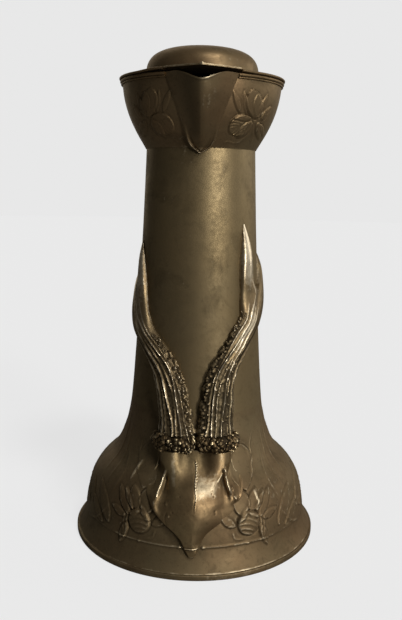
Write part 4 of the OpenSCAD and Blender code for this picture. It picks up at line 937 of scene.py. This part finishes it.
def knots(table):
    height, angle, width, depth = np.array(table, float).T
    return np.stack([ANTLER_Z + height * ANTLER_H, angle, width * ANTLER_W / 2, depth * ANTLER_OUT], axis=1)


def heading(table, s, shaft):
    """Unit vectors of arc and height along a path."""
    d = 0.5 / len(table)
    a, b = spline(table, np.maximum(0, s - d)), spline(table, np.minimum(1, s + d))
    arc = np.radians(b[:, 1] - a[:, 1]) * body_r(spline(table, s)[:, 0])
    v = np.stack([arc, b[:, 0] - a[:, 0]], axis=1)
    v /= np.linalg.norm(v, axis=1)[:, None]
    if shaft:
        v[:, 0] *= smooth(0, 0.2, s) * (1 - 0.85 * smooth(0.7, 1, s))
    return v / np.linalg.norm(v, axis=1)[:, None]


def furrows(share, span, length, s, inner_side, seed):
    """Long ridges with rows of small pearls on them, and large pearls along the inner edge."""
    rng = np.random.default_rng(seed)
    across = share * span
    pearls = Relief(across, length)
    last = len(s) - 1
    push = -0.5
    for k, centre in enumerate(RIDGES):
        line = centre + 0.018 * np.sin(7 * s + 1.9 * k + seed) + 0.01 * np.sin(17 * s + 3.1 * k)
        tall = (1.2 if k % 2 else 0.6) + 0.45 * noise(length, 9.0 * k, 6, seed + 3)
        push = push + tall * bell_curve((share - line) * span, 0.6)
        for _ in range(8):
            t = rng.uniform(0, 0.62)
            i = int(t * last)
            at = (line[i, 0] + rng.normal(0, 0.012)) * span[i, 0]
            pearls.pearl(at, length[i, 0], rng.uniform(0.45, 0.85), rng.uniform(0.6, 1.0) * (1.1 - t))
    push = push * (1 - 0.75 * smooth(0.5, 0.95, s))
    push = push + 0.22 * noise(across, length, 1.5, seed + 7) * fall(0.5, 0.85, s)
    reach = 0.7 if inner_side > 0 else 0.82
    for k in range(150):
        # nine large lumps at even steps, then small pearls all over
        big = k < 9
        t = 0.03 + 0.11 * reach * k + rng.uniform(-0.02, 0.02) if big else rng.uniform(0.0, reach)
        i = int(t * last)
        r = (rng.uniform(2.4, 3.4) if big else rng.uniform(0.5, 1.3)) * (1.12 - 0.55 * t)
        r *= 1 - 0.45 * smooth(reach - 0.25, reach, t)
        at = 0.05 if big else rng.uniform(0.0, INNER_SHARE)
        tall = 0.75 * r if big else 0.5 + 0.9 * r
        pearls.pearl(at * span[i, 0], length[i, 0], r, tall * rng.uniform(0.8, 1.1))
    ragged = 0.45 * noise(across, length, 1.3, seed + 5)
    return np.maximum(push, pearls.h - 0.2 + ragged - 9 * (pearls.h == 0))


def section(table, s, a, shaft, inner_side, valley, seed):
    """Angle, height, lift, and wear with painted light, of points round the sections at s; a runs from 0 to
    pi over the front.
    """
    p, h = spline(table, s), heading(table, s, shaft)
    z0, angle0, w, out = (p[:, k:k + 1] for k in range(4))
    cos, sin, s = np.cos(a), np.sin(a), s[:, None]
    length = 0.66 * ANTLER_H * s
    span = PI * (w + out) / 2
    left_inner = inner_side < 0
    share = (a if left_inner else PI - a) / PI
    if shaft:
        push = furrows(share, span, length, s, inner_side, seed)
        dull = 0.5 * smooth(0.48, 0.66, share) if left_inner else 0.2 * smooth(0.6, 0.9, share)
        wear_and_painted_light = (0.62 + 0.2 * smooth(0.3, 0.6, s)) * push - dull - 0.2
        # painted shade: the pearled inner edge is darkened, more so on the right
        inner = fall(0.17, 0.26, share) * fall(0.6, 0.8, s)
        wear_and_painted_light = wear_and_painted_light * (1 - inner) + inner * (0.16 * push - (0.8 if left_inner else 0.42))
        # painted highlight streaks along the upper shaft, and on the right antler a painted highlight near a
        # height of 155 mm
        wear_and_painted_light = wear_and_painted_light + (0.25 if left_inner else 0.6) * bell_curve(share - 0.38, 0.2) * smooth(0.6, 0.85, s)
        if left_inner:
            wear_and_painted_light = wear_and_painted_light + 1.2 * bell_curve(share - 0.42, 0.13) * bell_curve(z0 - 155, 16)
    else:
        push = 0.16 * np.cos(7 * a + seed) * fall(0.2, 0.8, s) + 0.1 * noise(share * span, length, 3, seed)
        # wear, with a painted highlight streak along each tine
        wear_and_painted_light = 0.3 * push + 0.2 + 0.95 * bell_curve(share - (0.5 if left_inner else 0.3), 0.22)
    push = push * np.minimum(1, w / 6)
    x = -w * cos - push * cos * (0.25 + 0.75 * smooth(0, 0.2, sin))
    form = sin ** 0.8 * (1 - valley * bell_curve(cos, 0.25))
    edge = EDGE * np.minimum(1, 2 * out / ANTLER_OUT + 0.2)
    lift = edge + np.maximum(0, out - EDGE) * form + push * sin
    z = z0 - x * h[:, :1]
    angle = angle0 + np.degrees(x * h[:, 1:] / body_r(z))
    return np.stack([angle, z, np.maximum(lift, 0.2), wear_and_painted_light], axis=-1)


def round_fork(beam, tine, half, crotch):
    """Round off the fold where the shaft's rows turn into a tine's; nothing moves at the crotch's column."""
    reach, rounds = 14, 50
    at = len(beam) - 1
    grid = np.concatenate([beam[at - 2 * reach:, half], tine[:2 * reach]])
    near = bell_curve(np.arange(len(grid)) - 2 * reach, reach)[:, None, None]
    near = near * smooth(0, 7, np.abs(np.arange(grid.shape[1]) - crotch))[None, :, None]
    for _ in range(rounds):
        grid[1:-1] += near[1:-1] * ((grid[:-2] + grid[2:]) / 2 - grid[1:-1])
    beam[at - 2 * reach:, half] = grid[:2 * reach + 1]
    tine[:2 * reach] = grid[2 * reach + 1:]


def antler(side_name, beam, low, high, inner_side, seed):
    beam, low, high = knots(beam), knots(low), knots(high)
    s = np.linspace(0, 1, BEAM_ROWS + 1)
    shaft = section(beam, s, np.linspace(0, PI, ANTLER_COLS + 1), True, inner_side,
                    0.45 * smooth(0.8, 1, s)[:, None], seed)
    fork, middle = shaft[-1].copy(), ANTLER_COLS // 2

    def tine(table, half, start, seed):
        """A tine that grows from one half of the fork; half is -1 or 1."""
        p, h = beam[-1], heading(beam, np.array([1.0]), True)[0]
        x = half * p[2] / 2
        root = [p[0] - x * h[0], p[1] + math.degrees(x * h[1] / body_r(p[0])), p[2] / 2, p[3]]
        table = np.concatenate([[root], table])
        t = np.linspace(0, 1, TINE_ROWS + 1)[1:]
        grown = section(table, t, np.linspace(0, PI, middle + 1), False, inner_side, 0, seed)
        grown[..., 3] -= 0.4 * (half > 0)
        k = smooth(0, 0.5, t)[:, None, None]
        p = spline(table, t)
        wide, deep = p[:, 2] / root[2], p[:, 3] / root[3]
        size = np.stack([wide, wide, deep, np.ones_like(t)], axis=1)[:, None]
        centre = np.pad(p[:, [1, 0]], ((0, 0), (0, 2)))[:, None]
        half_ring = fork[start:start + middle + 1] - np.array([root[1], root[0], 0, 0])
        return (half_ring * size + centre) * (1 - k) + grown * k

    parts = [shaft, tine(low, -1, 0, seed + 1), tine(high, 1, middle, seed + 2)]
    round_fork(shaft, parts[1], slice(0, middle + 1), middle)
    round_fork(shaft, parts[2], slice(middle, None), 0)
    angle, z, lift, wear_and_painted_light = np.concatenate([p.reshape(-1, 4) for p in parts]).T
    ids, first = [], 0
    for p in parts + parts:
        ids.append(grid_ids(*p.shape[:2], first))
        first += ids[-1].size
    for k in (0, 3):
        ids[k + 1] = np.concatenate([ids[k][-1:, :middle + 1], ids[k + 1]])
        ids[k + 2] = np.concatenate([ids[k][-1:, middle:], ids[k + 2]])
    faces = shell(ids[0], ids[3], last=False)
    faces += shell(ids[1], ids[4], first=False) + shell(ids[2], ids[5], first=False)
    points = np.concatenate([on_body(angle, z, lift), on_body(angle, z, -0.5)])
    make("antler_grooved_" + side_name, points, faces, ANTLER_MAT, "ewer", "antler_" + side_name,
         "pewter_rubbed", rub=wear_and_painted_light + 0.2 * smooth(0.25, 0.7, (z - ANTLER_Z) / ANTLER_H), gain=0.9)


# Handle and its bosses
def boss_lift(u, v):
    return EDGE + (BOSS_OUT - EDGE) * np.maximum(0, 1 - u * u) ** 0.7 * np.maximum(0, 1 - v * v) ** 0.7


def boss_half(v):
    return 0.35 + 0.65 * np.sqrt(np.maximum(0, 1 - v * v))


def boss_face(x, v, r, half_w):
    u = np.minimum(1, np.abs(x) / (half_w * boss_half(v)))
    return np.sqrt((r + SEAT + boss_lift(u, v)) ** 2 - x * x)


def boss(name, node, centre_z, width, height, radius_at):
    v = np.linspace(-1, 1, 61)[:, None]
    u = np.linspace(-1, 1, 49)
    z = centre_z + v * height / 2
    r = radius_at(z)
    angle = 180 - np.degrees(u * width / 2 * boss_half(v) / r)
    veins = 0.14 * np.cos(PI * 7 * (v * 0.5 - np.abs(u) * 0.35)) * (1 - u * u)
    leaf = (0.35 * bell_curve(u, 0.09) + veins) * (1 - v * v)
    front = place(angle, r + SEAT + boss_lift(u, v) + leaf, z)
    patch(name, front, place(angle, r - 0.3, z), PEWTER, "ewer", node, "pewter", gain=1.2)


def handle():
    top_y, low_y = (float(r) + BOSS_OUT + 2 * SEAT for r in (bowl_at(HANDLE_TOP_Z), body_r(HANDLE_LOW_Z)))
    drop = HANDLE_TOP_Z - HANDLE_LOW_Z
    high_z, mid_z = HANDLE_TOP_Z + 0.07 * drop, HANDLE_TOP_Z - 0.32 * drop
    first = bezier(100, [top_y, HANDLE_TOP_Z], [top_y + 0.3 * (HANDLE_REACH - top_y), high_z],
                   [HANDLE_REACH, high_z], [HANDLE_REACH, mid_z])
    second = bezier(100, [HANDLE_REACH, mid_z], [HANDLE_REACH, HANDLE_TOP_Z - 0.68 * drop],
                    [low_y + 0.55 * (HANDLE_REACH - low_y), HANDLE_LOW_Z + 0.1 * drop], [low_y, HANDLE_LOW_Z])
    path = np.concatenate([first, second[1:]])
    t = np.linspace(0, 1, len(path))[:, None]
    d = direction(path)
    cols = 40
    a = np.linspace(0, 2 * PI, cols + 1)[:-1]
    k = 1 - 0.3 * t + 0.12 * np.abs(2 * t - 1) ** 6
    n = k * HANDLE_T / 2 * np.sin(a)
    rings = xyz(k * HANDLE_W / 2 * np.cos(a) * (1 + 0.035 * np.cos(4 * a)),
                path[:, :1] + n * d[:, 1:], path[:, 1:] - n * d[:, :1])

    def end(section, centre_z, radius_at, width, height, k):
        """A section shrunk to the share k and laid on the face of its boss."""
        x, z = k * section[:, 0], centre_z + k * (section[:, 2] - centre_z)
        return xyz(x, boss_face(x, np.clip(2 * (z - centre_z) / height, -1, 1), radius_at(z), width / 2), z)

    blended = 20
    top = (HANDLE_TOP_Z, bowl_at, BOSS_TOP_W, BOSS_TOP_H)
    low = (HANDLE_LOW_Z, body_r, BOSS_LOW_W, BOSS_LOW_H)
    m = (np.arange(blended) / blended)[:, None, None]
    rings[:blended] = end(rings[0], *top, 1.0) * (1 - m) + rings[blended] * m
    rings[:-1 - blended:-1] = end(rings[-1], *low, 1.0) * (1 - m) + rings[-1 - blended] * m
    points = np.concatenate([[end(rings[0], *top, 0.5)], rings, [end(rings[-1], *low, 0.5)]]).reshape(-1, 3)
    centres = [end(rings[0], *top, 0.0)[0], end(rings[-1], *low, 0.0)[0]]
    ids = ring(grid_ids(len(rings) + 2, cols))
    rub = 0.25 * smooth(0.1, 0.35, t) * fall(0.55, 0.8, t) * (0.5 + 0.5 * np.sin(a))
    make("handle_bar", np.concatenate([points, centres]),
         [quads(ids, True), fan(ids[0], len(points)), fan(ids[-1], len(points) + 1, True)], PEWTER, "ewer",
         "handle", "pewter", rub=np.pad(rub, ((1, 1), (0, 0)), "edge"), gain=1.2)


# Lid
def dome():
    def side(r, h, step):
        t, power = np.linspace(0, PI / 2, 401), 2 / DOME_POWER
        return even(np.stack([r * np.cos(t) ** power, BRIM_TOP + h * np.sin(t) ** power], axis=1), step)[:-1]

    outer, inner = side(DOME_R, DOME_H, 0.9), side(DOME_R - DOME_WALL, DOME_H - DOME_WALL, 3.0)[::-1]
    cols = 300
    a = turn_round(cols)
    skin = spun(a, outer)
    dent = 0.05 * noise(np.radians(a) * outer[:, :1], outer[:, 1:] * 2, 14, 51)
    skin[..., :2] *= (1 + dent / outer[:, :1])[..., None]
    points = np.concatenate([skin, spun(a, inner)]).reshape(-1, 3)
    tops = [[0, 0, BRIM_TOP + DOME_H], [0, 0, BRIM_TOP + DOME_H - DOME_WALL]]
    ids = ring(grid_ids(len(outer) + len(inner), cols))
    over, under = ids[:len(outer)], ids[len(outer):]
    faces = [quads(over), quads(under), quads(np.concatenate([under[-1:], over[:1]])),
             fan(over[-1], len(points)), fan(under[0], len(points) + 1, True)]
    make("lid_dome_spun", np.concatenate([points, tops]), faces, PEWTER, "lid", "lid_dome", "pewter",
         rounds=3, rub=np.full(len(outer) * cols, 0.03))


BEAK_ANGLE = SPOUT_SIDE + math.degrees(SEAT / BRIM_R)
BEAK_HALF = BEAK_ANGLE - 2 * math.degrees(SEAT / BRIM_R)
BEAK_END = 0.6


def brim():
    inner, e = DOME_R - DOME_WALL, BRIM_T / 2
    t = np.linspace(0, PI / 2, 10)
    flat_r = np.linspace(inner, BRIM_R - e, 14)[:-1]
    radii = np.concatenate([flat_r, BRIM_R - e + e * np.sin(t)])[::-1, None]
    bulge = np.concatenate([np.full(len(flat_r), e), e * np.cos(t)])[::-1, None]
    rolled = 0.25 * bell_curve(radii - (BRIM_R - 1.2), 0.8) * (bulge > 0.05)
    a = np.linspace(BEAK_ANGLE, 360 - BEAK_ANGLE, 421)
    # the brim climbs towards the beak, more on its left
    climb = 0.95 * fall(2, 24, 360 - BEAK_ANGLE - a) + 0.35 * fall(0, 12, a - BEAK_ANGLE)
    mid = BRIM_Z + e + BEAK_RISE * BEAK_END * climb * smooth(0.1, 1, (radii - inner) / (BRIM_R - inner))
    top, low = mid + (bulge + rolled), mid - np.maximum(bulge, 0.02)
    patch("lid_brim_spun", place(a, radii, top), place(a, radii, low), PEWTER, "lid", "lid_brim", "pewter")


def beak():
    rows, cols = 40, 161
    s = np.linspace(1, 0, rows)[:, None]
    u = np.linspace(-1, 1, cols)
    arch = BEAK_RISE * smooth(0.1, 1, s) * (BEAK_END + 0.32 * (1 - np.abs(u)) ** 1.2)
    inner, outer = DOME_R - DOME_WALL, BRIM_R + BEAK_OUT * (1 - np.abs(u)) ** 1.5
    from_edge = (1 - s) * (outer - inner)
    lip = 0.35 * bell_curve(from_edge - 0.5, 0.7)
    nub = 0.5 * bell_curve(u, 0.03) * bell_curve(from_edge, 1.5)
    keel = 0.25 * bell_curve(u, 0.05) * smooth(0.3, 1.0, s)
    thin = 1 - 0.45 * smooth(0.75, 1, s)
    patch("lid_beak_folded", *(place(u * BEAK_HALF, inner + s * (outer - inner), BRIM_TOP + arch + h)
                               for h in (lip + nub + keel, -BRIM_T * thin)), PEWTER, "lid", "lid_beak",
          "pewter_rubbed", rub=0.3 * bell_curve(from_edge, 0.9), gain=1.2)


def collar():
    outer, low = BOWL_R - WALL - COLLAR_GAP, BRIM_Z - COLLAR_H
    z = np.array([low, low + 0.3, low + 1.5, BRIM_Z - 1, BRIM_Z - 0.1])[:, None]
    chamfer = np.array([0.4, 0, 0, 0, 0])[:, None]
    a = np.linspace(BEAK_ANGLE, 360 - BEAK_ANGLE, 301)
    patch("lid_collar_ring", place(a, outer - chamfer, z), place(a, outer - COLLAR_T + chamfer, z), INSIDE,
          "lid", "lid_collar", "pewter_dark")


THUMB_SHARE = [[0, .55], [.25, .42], [.5, .72], [.75, 1], [.9, .8], [1, .3]]


def thumbpiece():
    strap_front, strap_back = DOME_R + SEAT, HINGE_Y - KNUCKLE_R - KNUCKLE_GAP
    v = np.linspace(0, 1, 70)[:, None]
    u = np.linspace(-1, 1, 49)
    x = u * curve_at(THUMB_SHARE, v) * THUMB_W / 2
    lean, cup = 0.3 * THUMB_H * (v * v - 0.5 * v), 0.9 * THUMB_T * u * u * v
    y = (strap_front + strap_back) / 2 + THUMB_T / 2 + lean + cup
    half = THUMB_T / 2 * (1 - 0.35 * u * u) * (1 - 0.45 * v) * np.sqrt(np.maximum(0.12, 1 - u ** 6))
    vein = 0.3 * bell_curve(u, 0.1) * (1 - v) + 0.12 * np.cos(PI * 9 * (v - 0.35 * np.abs(u))) * (1 - u * u)
    z = BRIM_TOP + STRAP_T + v * THUMB_H
    patch("thumbpiece_leaf", xyz(x, y - half - vein, z), xyz(x, y + half, z), RUBBED, "lid", "thumbpiece",
          "pewter_rubbed", gain=1.2, rub=-0.1)


foot_ring()
bell()
neck()
bowl()
rim_bead()
spout()
skull()
burr("left", -15.9, 301)
burr("right", 16.8, 302)
antler("left", LEFT_BEAM, LEFT_REAR, LEFT_FRONT, 1, 401)
antler("right", RIGHT_BEAM, RIGHT_FRONT, RIGHT_REAR, -1, 402)
boss("handle_upper_leaf", "handle_upper_boss", HANDLE_TOP_Z, BOSS_TOP_W, BOSS_TOP_H, bowl_at)
boss("handle_lower_leaf", "handle_lower_boss", HANDLE_LOW_Z, BOSS_LOW_W, BOSS_LOW_H, body_r)
handle()
dome()
brim()
beak()
collar()
thumbpiece()

# Nodes that keep their solids get their material
KEPT = {"base_plate": INSIDE, "hinge_bracket": PEWTER, "hinge_pin": PIN, "lid_strap": PEWTER}
for kept, finish in KEPT.items():
    obj = frame["nodes"][kept]
    if not obj.material_slots:
        obj.data.materials.append(finish)
    for s in obj.material_slots:
        s.material = finish

# Stage: pale floor and world
BACK, WHITE = srgb(232, 232, 232), (1, 1, 1, 1)
FLOOR_GLOW, FLOOR_MIRRORED, FLOOR_TONE = 0.735, 0.06, (0.15, 0.15, 0.15, 1)


def floor():
    """A pale disc; it glows for the camera and is dim in the metal's reflections."""
    n, size = 96, 5.0
    mesh = bpy.data.meshes.new("floor")
    a = np.linspace(0, 2 * PI, n + 1)[:-1]
    mesh.from_pydata([(size * math.cos(t), size * math.sin(t), -0.0002) for t in a], [], [list(range(n))])
    mat = bpy.data.materials.new("floor_pale")
    t = Nodes(mat)
    path = t.new("ShaderNodeLightPath")
    through = t.math("MAXIMUM", path["Is Camera Ray"], path["Is Transmission Ray"])
    seen = t.math("MAXIMUM", through, t.math("MULTIPLY", path["Is Glossy Ray"], FLOOR_MIRRORED))
    glow = t.new("ShaderNodeEmission", {"Color": WHITE, "Strength": t.math("MULTIPLY", seen, FLOOR_GLOW)})
    diffuse = t.new("ShaderNodeBsdfDiffuse", {"Color": FLOOR_TONE})
    both = t.new("ShaderNodeAddShader", {0: diffuse[0], 1: glow[0]})
    t.new("ShaderNodeOutputMaterial", {"Surface": both[0]})
    mesh.materials.append(mat)
    obj = add("floor", mesh)


def world():
    """A pale studio behind the object; the room in front of it and to its left is unlit."""
    w = bpy.data.worlds.new("studio")
    bpy.context.scene.world = w
    t = Nodes(w)

    def ramp(*limits):
        return t.spread(*limits, interpolation_type="SMOOTHSTEP")

    path = t.new("ShaderNodeLightPath")
    where = t.new("ShaderNodeSeparateXYZ", {0: t.new("ShaderNodeTexCoord")["Generated"]})
    behind, from_left = ramp(where["Y"], 0.0, 0.95, 0.06, 0.6), ramp(where["X"], -0.7, 0.2, 0.35, 1.0)
    behind = t.math("MULTIPLY", behind, from_left)
    right = ramp(where["X"], 0.2, 0.95, 0.0, 0.45)
    studio = t.math("MULTIPLY", t.math("MAXIMUM", behind, right), path["Is Glossy Ray"])
    seen = t.math("MAXIMUM", path["Is Camera Ray"], path["Is Transmission Ray"])
    strength = t.math("MAXIMUM", t.math("MAXIMUM", seen, studio), 0.05)
    pale = t.new("ShaderNodeBackground", {"Color": BACK, "Strength": strength})
    t.new("ShaderNodeOutputWorld", {"Surface": pale[0]})


def sun(name, angle, height, strength, spread, colour=(1, 1, 1)):
    """A far soft lamp: angle from the front, height over the horizon and spread in degrees."""
    data = bpy.data.lights.new(name, "SUN")
    data.energy, data.angle, data.color = strength, math.radians(spread), colour
    a, e = math.radians(angle), math.radians(height)
    towards = Vector((math.sin(a) * math.cos(e), -math.cos(a) * math.cos(e), math.sin(e)))
    add(name, data).rotation_euler = towards.to_track_quat("Z", "Y").to_euler()


# Camera, fitted to the photograph's outline
PITCH, ROLL = math.radians(10.022), math.radians(1.078)
LENS, SENSOR, EYE = 41.453, 36, (0.00214, -0.52152, 0.25785)


def camera():
    forward = Vector((0, math.cos(PITCH), -math.sin(PITCH)))
    right = Vector((math.cos(ROLL), math.sin(ROLL) * math.sin(PITCH), math.sin(ROLL) * math.cos(PITCH)))
    turn = Matrix((right, right.cross(forward), -forward)).transposed().to_4x4()
    data = bpy.data.cameras.new("camera")
    data.lens, data.sensor_width, data.sensor_fit = LENS, SENSOR, "AUTO"
    data.clip_start, data.clip_end = 0.01, 50
    obj = add("camera", data)
    obj.matrix_world = Matrix.Translation(EYE) @ turn
    bpy.context.scene.camera = obj


floor()
world()
for height, strength in ((4, 1.35), (28, 0.65), (56, 1.15)):
    sun("key_%d" % height, 36, height, strength, 12)
sun("rim", 108, 12, 0.55, 40)
sun("back", -158, 24, 0.3, 60)
camera()
bpy.context.scene.view_settings.view_transform = "Standard"
